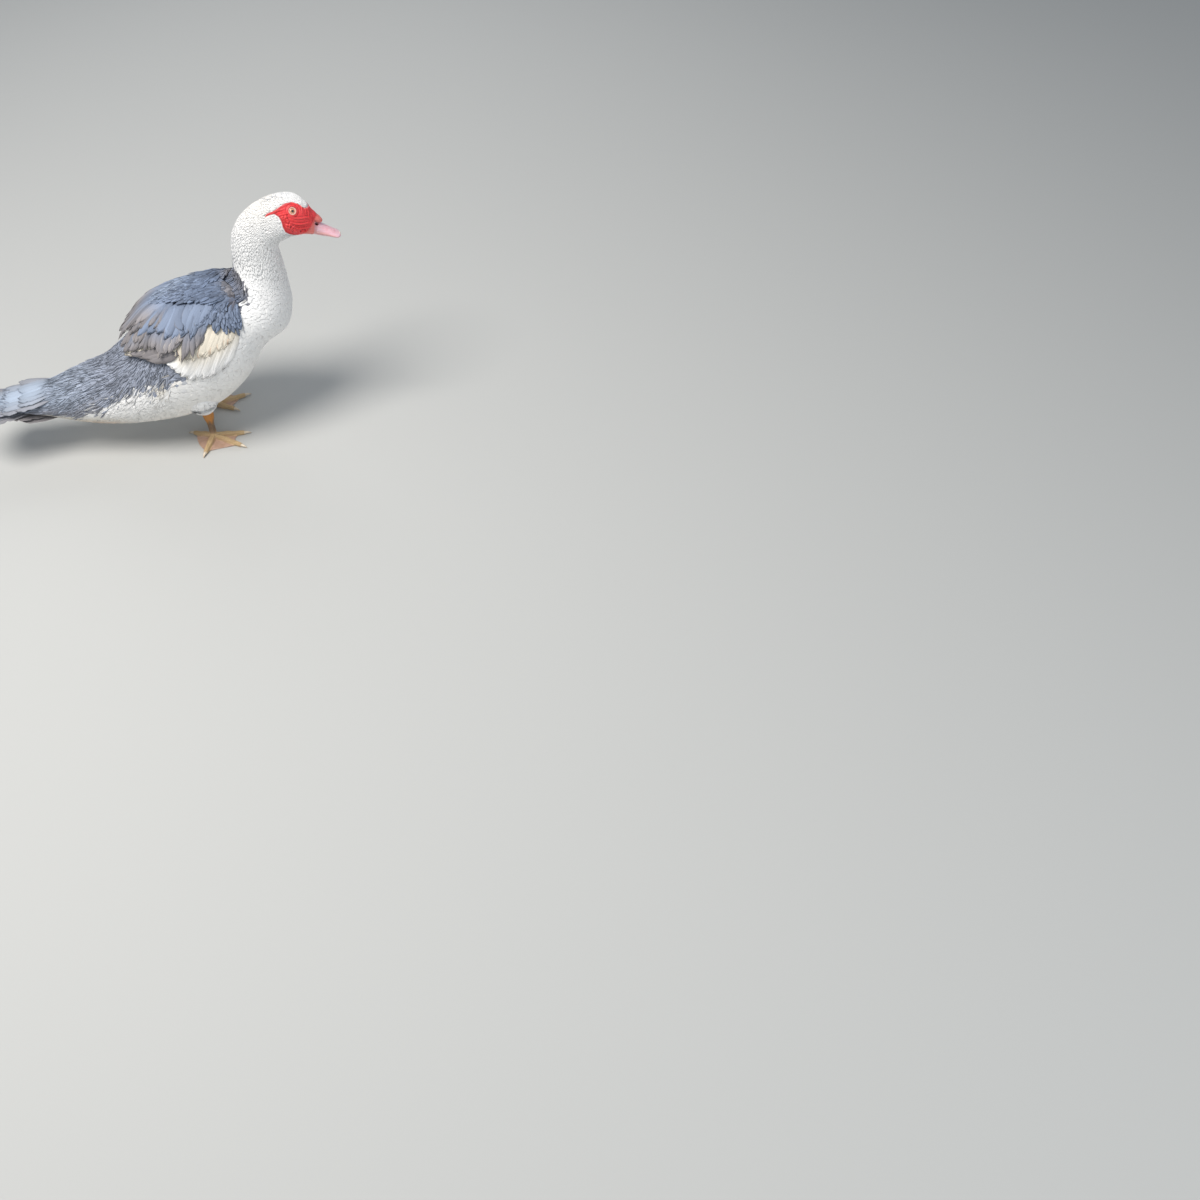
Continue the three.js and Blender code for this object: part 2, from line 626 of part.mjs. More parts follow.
// Legs: a feathered thigh, a bare shank, and a webbed foot with its claws
function tubeAlong(points, radii, around = 10) {
  const rings = points.map((p, i) => {
    const before = points[Math.max(i - 1, 0)];
    const after = points[Math.min(i + 1, points.length - 1)];
    const ahead = after.clone().sub(before).normalize();
    const level = v3(-ahead.y, ahead.x, 0);
    const across = level.lengthSq() > 0.04 ? level.normalize() : v3(0, 1, 0);
    const up = ahead.clone().cross(across).normalize();
    return Array.from({ length: around }, (_, j) => {
      const angle = (2 * Math.PI * j) / around;
      return p
        .clone()
        .addScaledVector(across, radii[i] * Math.cos(angle))
        .addScaledVector(up, radii[i] * Math.sin(angle));
    });
  });
  return loft(rings);
}

const ground = (reach, height) => solid(new THREE.BoxGeometry(reach, reach, height));
const belowGround = ground(600, 60).translate(0, 0, -30);

function thigh({ hock }) {
  const side = Math.sign(hock[1]);
  const [x, y, z] = thighShape.hip;
  const hip = v3(x, side * y, z);
  const end = v3(hock[0], hock[1], hock[2] + thighShape.over);
  const steps = [0, 0.14, 0.32, 0.5, 0.68, 0.84, 0.94, 1];
  const spine = steps.map((t) => {
    const p = hip.clone().lerp(end, t);
    p.y += side * thighShape.bulge * Math.sin(Math.PI * t);
    return p;
  });
  const taper = (t) => lerp(thighShape.knee, thighShape.end, t ** 3);
  const radii = steps.map((t) => taper(t) * Math.sin(Math.PI * (0.12 + 0.7 * t)) ** 0.6);
  return tubeAlong(spine, radii, 14);
}

function shankTube({ ball: [x, y], hock }, grow = 0) {
  const top = v3(...hock).add(v3(0, 0, grow));
  const bottom = v3(x, y, shank.joint + GAP - grow);
  const at = (t) => top.clone().lerp(bottom, t);
  const { middle } = shank;
  const radii = [shank.top, shank.top + shank.hock, shank.top, middle, middle, shank.bottom];
  return tubeAlong([0, 0.12, 0.28, 0.5, 0.78, 1].map(at), radii.map((r) => r + grow), 10);
}

function toeTube(start, [degrees, length], grow = 0) {
  const ahead = heading(degrees);
  const at = (t) => start.clone().addScaledVector(ahead, (length + grow) * t);
  const steps = [0, 0.25, 0.45, 0.7, 1];
  const points = steps.map((t) => at(t).setZ(lerp(toe.axis, toe.tip - toe.drop, t)));
  return tubeAlong(points, steps.map((t, i) => lerp(toe.root, toe.tip, t) * toe.swell[i] + grow), 7);
}

function web(start, [a, lengthA], [b, lengthB]) {
  const points = [[start.x, start.y]];
  const steps = 6;
  for (let i = 0; i <= steps; i++) {
    const t = i / steps;
    const scallop = 1 - webbing.scallop * Math.sin(Math.PI * t) ** 0.8;
    const reach = lerp(lengthA, lengthB, t) * webbing.reach * scallop;
    const edge = start.clone().addScaledVector(heading(lerp(a, b, t)), reach);
    points.push([edge.x, edge.y]);
  }
  const shape = new THREE.Shape(points.map(([x, y]) => new THREE.Vector2(x, y)));
  return solid(new THREE.ExtrudeGeometry(shape, { depth: webbing.thick, bevelEnabled: false }));
}

function clawHorn(start, [degrees, length]) {
  const ahead = heading(degrees);
  const from = start.clone().addScaledVector(ahead, length - claw.sunk);
  const steps = [0, 0.4, 0.75, 1];
  const points = steps.map((t, i) =>
    from.clone().addScaledVector(ahead, claw.length * t).setZ(claw.arc[i]),
  );
  return tubeAlong(points, claw.radii, 6);
}

for (const [name, leg] of Object.entries(legs)) {
  const start = v3(...leg.ball, toe.axis);
  const shankMade = shankTube(leg);
  addNode(`thigh_${name}`, cutBy(thigh(leg), [torsoAndGap, shankTube(leg, GAP)]), "whiteFeather");
  addNode(`shank_${name}`, shankMade, "legSkin");
  const radii = [ankle.wide, ankle.wide, ankle.high];
  const joint = ball([start.x, start.y, ankle.centre], radii, { around: 10, down: 6 });
  const toes = [...leg.toes, leg.hind].map((spec) => toeTube(start, spec));
  const webs = [0, 1].map((i) => web(start, leg.toes[i], leg.toes[i + 1]));
  if (leg.flap) webs.push(web(start, leg.toes[2], [leg.hind[0] - 360, leg.hind[1]]));
  const foot = joined([joint, ...toes, ...webs]);
  addNode(`foot_${name}`, cutBy(foot, [belowGround, shankTube(leg, GAP)]), "webSkin");
  const claws = { inner: leg.toes[0], middle: leg.toes[1], outer: leg.toes[2], hind: leg.hind };
  for (const [which, spec] of Object.entries(claws)) {
    const horn = clawHorn(start, spec);
    addNode(`claw_${which}_${name}`, cutBy(horn, [belowGround, toeTube(start, spec, GAP)]), "claw");
  }
}

// The origin is on the ground, under the middle of the whole bird.
const bounds = new THREE.Box3().setFromObject(bird);
const centre = bounds.getCenter(v3(0, 0, 0));
const onGrid = (value) => GRID * Math.round(value / GRID);
bird.position.set(-onGrid(centre.x), -onGrid(centre.y), 0);

const duck = new THREE.Group();
duck.add(bird);

export default duck;
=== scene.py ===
import math

import bmesh
import bpy
import numpy as np
from mathutils import Matrix, Vector
from mathutils.kdtree import KDTree


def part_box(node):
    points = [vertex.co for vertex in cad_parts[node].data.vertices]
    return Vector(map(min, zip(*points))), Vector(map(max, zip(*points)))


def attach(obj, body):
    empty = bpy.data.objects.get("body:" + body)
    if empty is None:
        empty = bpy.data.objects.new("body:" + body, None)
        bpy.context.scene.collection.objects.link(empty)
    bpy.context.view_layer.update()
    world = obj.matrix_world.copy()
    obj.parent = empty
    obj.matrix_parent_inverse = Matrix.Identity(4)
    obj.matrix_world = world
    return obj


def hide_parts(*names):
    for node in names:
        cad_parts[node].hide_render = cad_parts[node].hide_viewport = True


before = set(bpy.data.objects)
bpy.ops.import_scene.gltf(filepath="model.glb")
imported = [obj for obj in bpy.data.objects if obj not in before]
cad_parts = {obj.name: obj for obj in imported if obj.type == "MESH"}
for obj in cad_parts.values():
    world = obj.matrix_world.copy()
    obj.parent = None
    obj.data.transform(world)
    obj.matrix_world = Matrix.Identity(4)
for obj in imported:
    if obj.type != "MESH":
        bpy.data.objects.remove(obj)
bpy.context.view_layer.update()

# A standing muscovy drake. Shapes are worked out in millimetres from a point on the ground between the
# feet, as in the CAD source, and moved to the frame's origin when a mesh is made.
torsoLow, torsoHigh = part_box("torso")
tailRootX = -226.0
origin = np.array([torsoLow[0] - tailRootX / 1000, (torsoLow[1] + torsoHigh[1]) / 2, 0.0])
sides = {"right": -1, "left": 1}


def inFrame(points):
    return np.asarray(points, float) * 0.001 + origin


def blend(low, high, share):
    return low + (high - low) * share


def smooth(value, low, high):
    t = np.clip((value - low) / (high - low), 0, 1)
    return t * t * (3 - 2 * t)


def unit(vectors):
    return vectors / np.maximum(np.linalg.norm(vectors, axis=-1, keepdims=True), 1e-9)


def colour(r, g, b):
    values = np.array([r, g, b], float)
    return np.where(values <= 0.04045, values / 12.92, ((values + 0.055) / 1.055) ** 2.4)


# Camera, floor and light
view = {
    "place": (217.1, -1775.0, 1270.0),
    "forward": (0.1798, 0.6710, -0.7193),
    "right": (0.9659, -0.2588, 0.0),
    "lens": 35.7,
    "sensor": 36.0,
}


def makeCamera():
    data = bpy.data.cameras.new("camera")
    data.lens = view["lens"]
    data.sensor_width = data.sensor_height = view["sensor"]
    data.sensor_fit = "AUTO"
    data.clip_start = 0.05
    item = bpy.data.objects.new("camera", data)
    bpy.context.scene.collection.objects.link(item)
    ahead = Vector(view["forward"]).normalized()
    right = Vector(view["right"]).normalized()
    turn = Matrix((right, right.cross(ahead), -ahead)).transposed()
    item.matrix_world = Matrix.Translation(Vector(inFrame(view["place"]))) @ turn.to_4x4()
    bpy.context.scene.camera = item


lights = {
    "key": {"place": (-0.9, -0.7, 2.6), "size": 1.6, "watts": 88, "tint": (1.0, 0.968, 0.925)},
    "fill": {"place": (1.5, -2.4, 1.3), "size": 2.2, "watts": 16, "tint": (0.93, 0.97, 1.0)},
    "back": {"place": (0.4, 2.2, 1.9), "size": 1.8, "watts": 14, "tint": (1.0, 1.0, 1.0)},
}
room = {"tint": (0.78, 0.88, 1.0, 1), "strength": 0.34, "floor": (0.5, 0.5, 0.485, 1), "floorSize": 14}


def makeStage():
    for name, spec in lights.items():
        data = bpy.data.lights.new(name, "AREA")
        data.shape = "DISK"
        data.size = spec["size"]
        data.energy = spec["watts"]
        data.color = spec["tint"]
        item = bpy.data.objects.new(name, data)
        bpy.context.scene.collection.objects.link(item)
        item.location = spec["place"]
        item.rotation_euler = (Vector((0, 0, 0.15)) - item.location).to_track_quat("-Z", "Y").to_euler()
    world = bpy.data.worlds.new("soft room")
    world.use_nodes = True
    world.node_tree.nodes["Background"].inputs["Color"].default_value = room["tint"]
    world.node_tree.nodes["Background"].inputs["Strength"].default_value = room["strength"]
    bpy.context.scene.world = world
    bpy.ops.mesh.primitive_plane_add(size=room["floorSize"], location=(0, 0, 0))
    floor = bpy.context.object
    floor.name = "floor"
    paint = bpy.data.materials.new("floor paint")
    paint.use_nodes = True
    shader = paint.node_tree.nodes["Principled BSDF"]
    shader.inputs["Base Color"].default_value = room["floor"]
    shader.inputs["Roughness"].default_value = 0.85
    floor.data.materials.append(paint)
    # the plumage is nearly white and the face saturated red, and the filmic view greys both
    bpy.context.scene.view_settings.view_transform = "Standard"


makeCamera()
makeStage()
print("stage: camera, floor and lights")


# Mesh and material helpers
def meshObject(name, points, quads, attributes=None, maps=None, shadeSmooth=True):
    mesh = bpy.data.meshes.new(name)
    points = inFrame(points.reshape(-1, 3))
    mesh.vertices.add(len(points))
    mesh.vertices.foreach_set("co", points.ravel())
    mesh.loops.add(quads.size)
    mesh.loops.foreach_set("vertex_index", quads.ravel())
    mesh.polygons.add(len(quads))
    mesh.polygons.foreach_set("loop_start", np.arange(0, quads.size, quads.shape[1]))
    mesh.update(calc_edges=True)
    for label, values in (maps or {}).items():
        layer = mesh.uv_layers.new(name=label)
        layer.data.foreach_set("uv", values.reshape(-1, 2)[quads.ravel()].astype(np.float32).ravel())
    for label, values in (attributes or {}).items():
        setAttribute(mesh, label, values)
    mesh.polygons.foreach_set("use_smooth", np.full(len(quads), shadeSmooth))
    item = bpy.data.objects.new(name, mesh)
    bpy.context.scene.collection.objects.link(item)
    return item


def setAttribute(mesh, label, values):
    values = np.asarray(values, np.float32)
    if values.ndim > 1 and values.shape[-1] == 3:
        layer = mesh.color_attributes.new(label, "FLOAT_COLOR", "POINT")
        flat = values.reshape(-1, 3)
        layer.data.foreach_set("color", np.hstack([flat, np.ones((len(flat), 1), np.float32)]).ravel())
    else:
        layer = mesh.attributes.new(label, "FLOAT", "POINT")
        layer.data.foreach_set("value", values.ravel())


def tubeQuads(rings, around):
    i, j = np.meshgrid(np.arange(rings - 1), np.arange(around), indexing="ij")
    k = (j + 1) % around
    corners = [i * around + j, i * around + k, (i + 1) * around + k, (i + 1) * around + j]
    return np.stack(corners, -1).reshape(-1, 4)


def tubeObject(name, rings, attributes=None):
    # closes a tube of rings with a middle point at each end
    count, around = rings.shape[:2]
    quads = tubeQuads(count, around)
    points = np.vstack([rings.reshape(-1, 3), rings[0].mean(0), rings[-1].mean(0)])
    first, last = count * around, count * around + 1
    j = np.arange(0, around, 2)
    start = np.stack([np.full(len(j), first), (j + 2) % around, j + 1, j], -1)
    end = np.stack([np.full(len(j), last), j, j + 1, (j + 2) % around], -1)
    end[:, 1:] += (count - 1) * around
    if attributes:
        attributes = {label: np.concatenate([values.reshape(-1), [values[0].mean(), values[-1].mean()]])
                      for label, values in attributes.items()}
    item = meshObject(name, points, np.vstack([quads, start, end]), attributes)
    faceOutward(item)
    return item


def faceOutward(item):
    work = bmesh.new()
    work.from_mesh(item.data)
    bmesh.ops.recalc_face_normals(work, faces=work.faces)
    work.to_mesh(item.data)
    work.free()


def pointsOf(item):
    flat = np.empty(len(item.data.vertices) * 3, np.float32)
    item.data.vertices.foreach_get("co", flat)
    return (flat.reshape(-1, 3) - origin) * 1000


def joinObjects(items, name):
    bpy.ops.object.select_all(action="DESELECT")
    for item in items:
        item.select_set(True)
    bpy.context.view_layer.objects.active = items[0]
    if len(items) > 1:
        bpy.ops.object.join()
    joined = bpy.context.view_layer.objects.active
    joined.name = joined.data.name = name
    return joined


def remeshed(item, voxel, softenSteps=2):
    bpy.context.view_layer.objects.active = item
    change = item.modifiers.new("voxels", "REMESH")
    change.mode = "VOXEL"
    change.voxel_size = voxel * 0.001
    change.use_smooth_shade = True
    soften = item.modifiers.new("soften", "SMOOTH")
    soften.iterations = softenSteps
    soften.factor = 0.5
    for modifier in [change.name, soften.name]:
        bpy.ops.object.modifier_apply(modifier=modifier)
    return item


def hollowness(item):
    # how far each point lies below the mean of its neighbours, in mm: creases come out positive
    mesh = item.data
    edges = np.empty(len(mesh.edges) * 2, np.int32)
    mesh.edges.foreach_get("vertices", edges)
    edges = edges.reshape(-1, 2)
    normals = np.empty(len(mesh.vertices) * 3, np.float32)
    mesh.vertices.foreach_get("normal", normals)
    values = pointsOf(item)
    for _ in range(3):
        total, count = np.zeros_like(values), np.zeros(len(values))
        for a, b in [(0, 1), (1, 0)]:
            np.add.at(total, edges[:, a], values[edges[:, b]])
            np.add.at(count, edges[:, a], 1)
        values = (values + total) / (count + 1)[:, None]
    return ((values - pointsOf(item)) * normals.reshape(-1, 3)).sum(-1)


class Paint:
    # a thin layer over a node tree, so that a material reads as a list of steps
    def __init__(self, name):
        self.material = bpy.data.materials.new(name)
        self.material.use_nodes = True
        self.tree = self.material.node_tree
        self.shader = self.tree.nodes["Principled BSDF"]

    def node(self, kind, **settings):
        made = self.tree.nodes.new("ShaderNode" + kind)
        for key, value in settings.items():
            setattr(made, key, value)
        return made

    def put(self, socket, value):
        if isinstance(value, bpy.types.NodeSocket):
            self.tree.links.new(value, socket)
        elif isinstance(value, (tuple, list, np.ndarray)) and len(value) == 3 and socket.type == "RGBA":
            socket.default_value = (*[float(v) for v in value], 1)
        else:
            socket.default_value = value

    def attribute(self, label, colourOut=False):
        made = self.node("Attribute", attribute_name=label)
        return made.outputs["Color" if colourOut else "Fac"]

    def math(self, kind, a, b=0.0):
        made = self.node("Math", operation=kind)
        self.put(made.inputs[0], a)
        self.put(made.inputs[1], b)
        return made.outputs[0]

    def mix(self, share, a, b, kind="MIX"):
        made = self.node("Mix", data_type="RGBA", blend_type=kind)
        self.put(made.inputs["Factor"], share)
        self.put([s for s in made.inputs if s.name == "A" and s.type == "RGBA"][0], a)
        self.put([s for s in made.inputs if s.name == "B" and s.type == "RGBA"][0], b)
        return [s for s in made.outputs if s.type == "RGBA"][0]

    def place(self, stretch=(1, 1, 1)):
        made = self.node("Mapping")
        self.put(made.inputs["Vector"], self.node("TexCoord").outputs["Object"])
        made.inputs["Scale"].default_value = stretch
        return made.outputs[0]

    def noise(self, scale, detail=3.0, where=None, rough=0.55):
        made = self.node("TexNoise")
        self.put(made.inputs["Vector"], where or self.place())
        made.inputs["Scale"].default_value = scale
        made.inputs["Detail"].default_value = detail
        made.inputs["Roughness"].default_value = rough
        return made.outputs["Fac"]

    def cells(self, scale, where=None, feature="DISTANCE_TO_EDGE"):
        made = self.node("TexVoronoi", feature=feature)
        self.put(made.inputs["Vector"], where or self.place())
        made.inputs["Scale"].default_value = scale
        return made.outputs["Distance"]

    def ramp(self, value, low, high, first=0.0, last=1.0):
        made = self.node("MapRange", clamp=True)
        for socket, item in zip(made.inputs, [value, low, high, first, last]):
            self.put(socket, item)
        return made.outputs[0]

    def bump(self, height, distance, strength=1.0):
        made = self.node("Bump")
        made.inputs["Strength"].default_value = strength
        made.inputs["Distance"].default_value = distance * 0.001
        self.put(made.inputs["Height"], height)
        return made.outputs[0]

    def finish(self, **sockets):
        for name, value in sockets.items():
            self.put(self.shader.inputs[name.replace("_", " ")], value)
        return self.material


# The skin as a surface of station along the body and angle down from the back line
# rows: back x, back z, belly x, belly z, half width, share of the way down where it is widest
bodySections = np.array([
    (-226, 124, -226, 64, 43, 0.5),
    (-182, 140, -186, 50, 54, 0.52),
    (-140, 152, -142, 43, 66, 0.53),
    (-106, 174, -106, 41, 77, 0.53),
    (-76, 198, -70, 41, 86, 0.52),
    (-34, 232, -25, 43, 93, 0.5),
    (17, 254, 29, 60, 96, 0.5),
    (58, 263, 79, 99, 89, 0.5),
    (82, 268, 117, 151, 73.5, 0.52),
    (91, 275, 159, 178, 64, 0.54),
    (93.5, 286, 172.5, 213, 51, 0.54),
    (95, 300, 173, 248, 41, 0.52),
    (97, 318, 171, 284, 34, 0.5),
    (103.5, 342, 169, 309, 30, 0.5),
    (120, 365.5, 173, 319, 28.5, 0.52),
    (146, 384, 180, 322, 28, 0.54),
    (178, 394.5, 190, 325.5, 27.5, 0.55),
    (206, 392, 203, 327.5, 25, 0.55),
    (223, 375, 214, 327, 20.5, 0.5),
    (232, 356, 225, 324, 14.5, 0.5),
])
headEnd = len(bodySections) - 1
tailRootShape = {"x": -226, "z": 94, "length": 62, "half": (42.6, 34), "high": (29.7, 4.5), "rise": 6,
                 "pace": 44}
skinStart = -1.36  # stations below zero run on over the root of the tail


def throughRows(table, where):
    # a smooth curve through the rows of a table
    last = len(table) - 1
    where = np.clip(np.asarray(where, float), 0, last - 1e-9)
    i = np.floor(where).astype(int)
    t = (where - i)[..., None]
    padded = np.vstack([2 * table[0] - table[1], table, 2 * table[-1] - table[-2]])
    p0, p1, p2, p3 = (padded[i + k] for k in range(4))
    m1, m2 = (p2 - p0) * 0.5, (p3 - p1) * 0.5
    return (2 * p1 - 2 * p2 + m1 + m2) * t**3 + (-3 * p1 + 3 * p2 - 2 * m1 - m2) * t**2 + m1 * t + p1


def tailRoot(t, angle):
    shape = tailRootShape
    on, within = np.clip(t, 0, 1.5), np.clip(t, 0, 1)
    return np.stack([shape["x"] - shape["length"] * on, blend(*shape["half"], within) * np.sin(angle),
                     shape["z"] + shape["rise"] * on + blend(*shape["high"], within) * np.cos(angle)], -1)


def skinPoint(station, angle):
    station = np.asarray(station, float)
    row = throughRows(bodySections, np.maximum(station, 0))
    back, belly, half, wide = row[..., 0:2], row[..., 2:4], row[..., 4], row[..., 5:6]
    middle = back + (belly - back) * wide
    c = np.cos(angle)[..., None]
    p = middle + (np.where(c > 0, back, belly) - middle) * abs(c)
    body = np.stack([p[..., 0], half * np.sin(angle), p[..., 1]], -1)
    behind = tailRoot(-station * tailRootShape["pace"] / tailRootShape["length"], angle)
    return np.where((station < 0)[..., None], behind, body)


def slopesOf(surface, u, v, step=0.02, limits=(-np.inf, np.inf)):
    low, high = np.maximum(u - step, limits[0]), np.minimum(u + step, limits[1])
    along = (surface(high, v) - surface(low, v)) / (high - low)[..., None]
    across = (surface(u, v + step) - surface(u, v - step)) / (2 * step)
    return along, across


coatLimits = (-2.1, headEnd)  # feathers at the end of the skin reach past it


def overSkin(station, angle, height):
    along, across = slopesOf(skinPoint, station, angle, limits=coatLimits)
    normal = unit(np.cross(along, across))
    return skinPoint(station, angle) + normal * np.asarray(height)[..., None]


coat = {
    # station: how deep the skin lies, feather length, feather width, row gap, all in mm
    "stations": [-1.4, 0, 3, 6, 8.5, 10, 11, 12.5, 14, 15.5, 17, 19],
    "depth": [0.8, 1.1, 1.3, 1.3, 1.1, 0.9, 0.8, 0.7, 0.6, 0.5, 0.5, 0.4],
    "length": [27, 26, 25, 24, 21, 17, 14, 11, 8.5, 6.5, 5, 3.6],
    "width": [12, 12.5, 12.5, 12.5, 11.5, 9.5, 8, 6, 4.4, 3.4, 2.7, 2.0],
    "gap": [6.4, 6.6, 6.6, 6.4, 5.8, 4.6, 3.7, 2.9, 2.3, 1.9, 1.6, 1.3],
}


def coatSize(name, station):
    return np.interp(station, coat["stations"], coat[name])


# Markings, from the station, the angle from the back line (both sides alike) and a ragged edge
tones = {
    "white": colour(0.965, 0.96, 0.955),
    "warmWhite": colour(0.95, 0.925, 0.88),
    "cream": colour(0.90, 0.865, 0.80),
    "slate": colour(0.40, 0.45, 0.54),
    "lavender": colour(0.50, 0.55, 0.64),
    "paleGrey": colour(0.67, 0.72, 0.79),
    "rump": colour(0.61, 0.635, 0.695),
    "taupe": colour(0.57, 0.55, 0.555),
    "umber": colour(0.36, 0.34, 0.36),
    "rust": colour(0.80, 0.60, 0.44),
}
# edge of the slate back: stations and how far down it reaches there
backEdge = ([5.6, 7.5, 8.3, 9.2, 10.2, 10.7, 11.1], [1.1, 1.08, 1.04, 0.95, 0.95, 0.5, 0.0])
# edge of the grey rump and flank, towards the tail
rumpEdge = (
    [-1.4, -0.5, 0.3, 1.2, 1.9, 2.2, 2.7, 3.2, 3.7, 4.2, 4.7, 5.0, 5.2, 5.4, 5.55, 5.7, 5.8, 5.95],
    [2.6, 2.1, 1.8, 1.6, 1.42, 1.28, 1.15, 1.13, 1.15, 1.22, 1.28, 1.37, 1.46, 1.5, 1.48, 1.38, 1.2, 0.9],
)
markingLayers = [
    # tone, its share, and windows: what is measured, the middle it is measured from (or None), and the values
    # where the tone begins and where it is full
    ("warmWhite", 0.6, [("down", None, 1.3, 2.6), ("station", None, 9, 5)]),
    ("warmWhite", 0.5, [("station", None, 13, 16), ("down", None, 1.6, 0.3), ("station", None, 17, 15.5)]),
    ("cream", 0.75, [("station", None, 7.6, 6.2), ("station", None, 4.2, 4.8), ("down", None, 1.6, 1.3)]),
    ("rust", 0.35, [("station", 7.2, 0.5, 0.2), ("down", 1.2, 0.22, 0.1)]),
    ("cream", 0.75, [("station", None, 3.6, 1.8), ("down", None, 1.5, 2.0)]),
    ("rust", 0.35, [("station", 2.0, 1.2, 0.2), ("down", 2.2, 0.4, 0.1)]),
    ("slate", 1.0, [("back", None, 0.04, -0.04)]),
    ("taupe", 0.6, [("back", None, 0.04, -0.04), ("station", None, 8.2, 10.2)]),
    ("umber", 0.45, [("back", None, 0.02, -0.04), ("back", None, -0.2, -0.08), ("station", None, 7.4, 8.4)]),
    ("slate", 0.6, [("fleck", None, 0, 1), ("station", 16.2, 1.2, 0.3), ("down", None, 0.55, 0.2)]),
    ("rump", 1.0, [("rump", None, 0.05, -0.05)]),
    ("paleGrey", 0.6, [("station", None, 2.8, 0.2), ("rump", None, 0.0, -0.2), ("down", None, 1.5, 0.8)]),
    ("taupe", 0.25, [("station", 3.6, 1.4, 0.3), ("rump", None, 0.0, -0.3), ("down", None, 0.9, 1.3)]),
    ("taupe", 0.45, [("rump", None, -0.6, -0.1), ("rump", None, 0.02, -0.02), ("tail", None, 0, 1)]),
]
beyond = 99.0  # an edge that is never reached


def markings(station, angle, random):
    down = np.abs((angle + np.pi) % (2 * np.pi) - np.pi)
    ragged = random.normal(0, 0.06, station.shape)
    fleck = random.random(station.shape) < 0.3
    back = np.interp(station, *backEdge, left=-1, right=-1) + ragged
    rump = np.interp(station, *rumpEdge) + 1.5 * ragged
    measures = {"down": down, "station": station, "fleck": fleck * 1.0, "tail": (station < 2.0) * 1.0,
                "back": np.where(station < 11.2, down - back, beyond),
                "rump": np.where(station < 6.1, down - rump, beyond)}
    made = np.broadcast_to(tones["white"], station.shape + (3,)).copy()
    for tone, share, windows in markingLayers:
        for what, middle, start, full in windows:
            value = measures[what] if middle is None else abs(measures[what] - middle)
            share = share * smooth(value, start, full)
        made += (tones[tone] - made) * share[..., None]
    return made


# The edge of the bare face in side view
maskEdge = np.array([
    (157, 371), (162, 375.8), (168, 378), (176, 380.2), (184, 384), (192.5, 386.8), (203, 386.6), (210, 383),
    (215, 378.5), (218.5, 374), (226, 370), (262, 370), (262, 300), (206, 300), (203, 329), (196, 334),
    (189, 339.5), (184.3, 345), (182, 354), (181.3, 364), (179, 371), (173, 375.4), (165, 374.2),
], float)


def outsideMask(points):
    # distance in side view from the edge of the bare skin, negative on it
    x, z = points[..., 0], points[..., 2]
    nearest = np.full(x.shape, np.inf)
    inside = np.zeros(x.shape, bool)
    for (x0, z0), (x1, z1) in zip(maskEdge, np.roll(maskEdge, -1, 0)):
        t = np.clip(((x - x0) * (x1 - x0) + (z - z0) * (z1 - z0)) / ((x1 - x0) ** 2 + (z1 - z0) ** 2), 0, 1)
        nearest = np.minimum(nearest, np.hypot(x - x0 - t * (x1 - x0), z - z0 - t * (z1 - z0)))
        crosses = (z0 > z) != (z1 > z)
        inside ^= crosses & (x < x0 + (z - z0) * (x1 - x0) / (z1 - z0 if z1 != z0 else 1e-9))
    return np.where(inside, -nearest, nearest)


# Growths of the face: the eye's place, the knob over the bill, folds and bulbs
eye = {"station": 16.78, "angle": 1.03, "radius": 6.5, "sunk": 4.6, "opening": 4.35, "lid": 1.1}
knobBalls = [
    # the knob over the bill, its root under the forehead, and the slope between them
    {"place": (231.5, 0, 351.5), "radii": (14.5, 9.2, 5.4), "tilt": 40},
    {"place": (222.5, 0, 363.5), "radii": (13, 10, 6.4), "tilt": 52},
    {"place": (227.6, 0, 358.2), "radii": (12.5, 9.6, 5.0), "tilt": 46},
]
foldLines = [
    # station and angle of points along a fold, its height and its breadth in mm
    {"line": [(16.2, 0.62), (16.6, 0.52), (17.1, 0.5), (17.6, 0.62)], "height": 0.8, "breadth": 1.1},
    {"line": [(16.45, 1.22), (16.9, 1.34), (17.4, 1.32), (17.9, 1.18), (18.4, 1.05)], "height": 1.0,
     "breadth": 1.2},
    {"line": [(16.5, 1.5), (17.0, 1.62), (17.6, 1.6), (18.3, 1.42)], "height": 1.2, "breadth": 1.3},
    {"line": [(16.6, 1.82), (17.2, 1.93), (17.9, 1.86), (18.5, 1.7)], "height": 1.2, "breadth": 1.4},
    {"line": [(17.35, 0.45), (17.5, 0.72), (17.55, 1.0)], "height": 0.9, "breadth": 0.9},
    {"line": [(17.7, 0.42), (17.85, 0.7), (17.9, 1.0)], "height": 0.9, "breadth": 0.9},
    {"line": [(18.05, 0.5), (18.2, 0.8), (18.2, 1.15)], "height": 0.9, "breadth": 0.9},
    {"line": [(18.4, 0.65), (18.55, 0.95), (18.5, 1.3)], "height": 0.8, "breadth": 0.9},
    {"line": [(15.5, 0.98), (15.9, 0.93), (16.35, 0.92)], "height": 1.0, "breadth": 1.0},
    {"line": [(15.7, 1.12), (16.1, 1.12), (16.45, 1.1)], "height": 0.7, "breadth": 0.9},
]
foldSteps = 28
foldGroove = {"depth": 0.55, "away": 1.9, "breadth": 0.5}  # beside each fold, in its own breadths
eyeRings = [{"radius": 7.7, "breadth": 1.1, "height": 0.7}, {"radius": 9.6, "breadth": 0.9, "height": -0.5}]
pebble = {"tries": 1500, "margin": 0.6, "size": (0.55, 1.25), "height": 0.34}
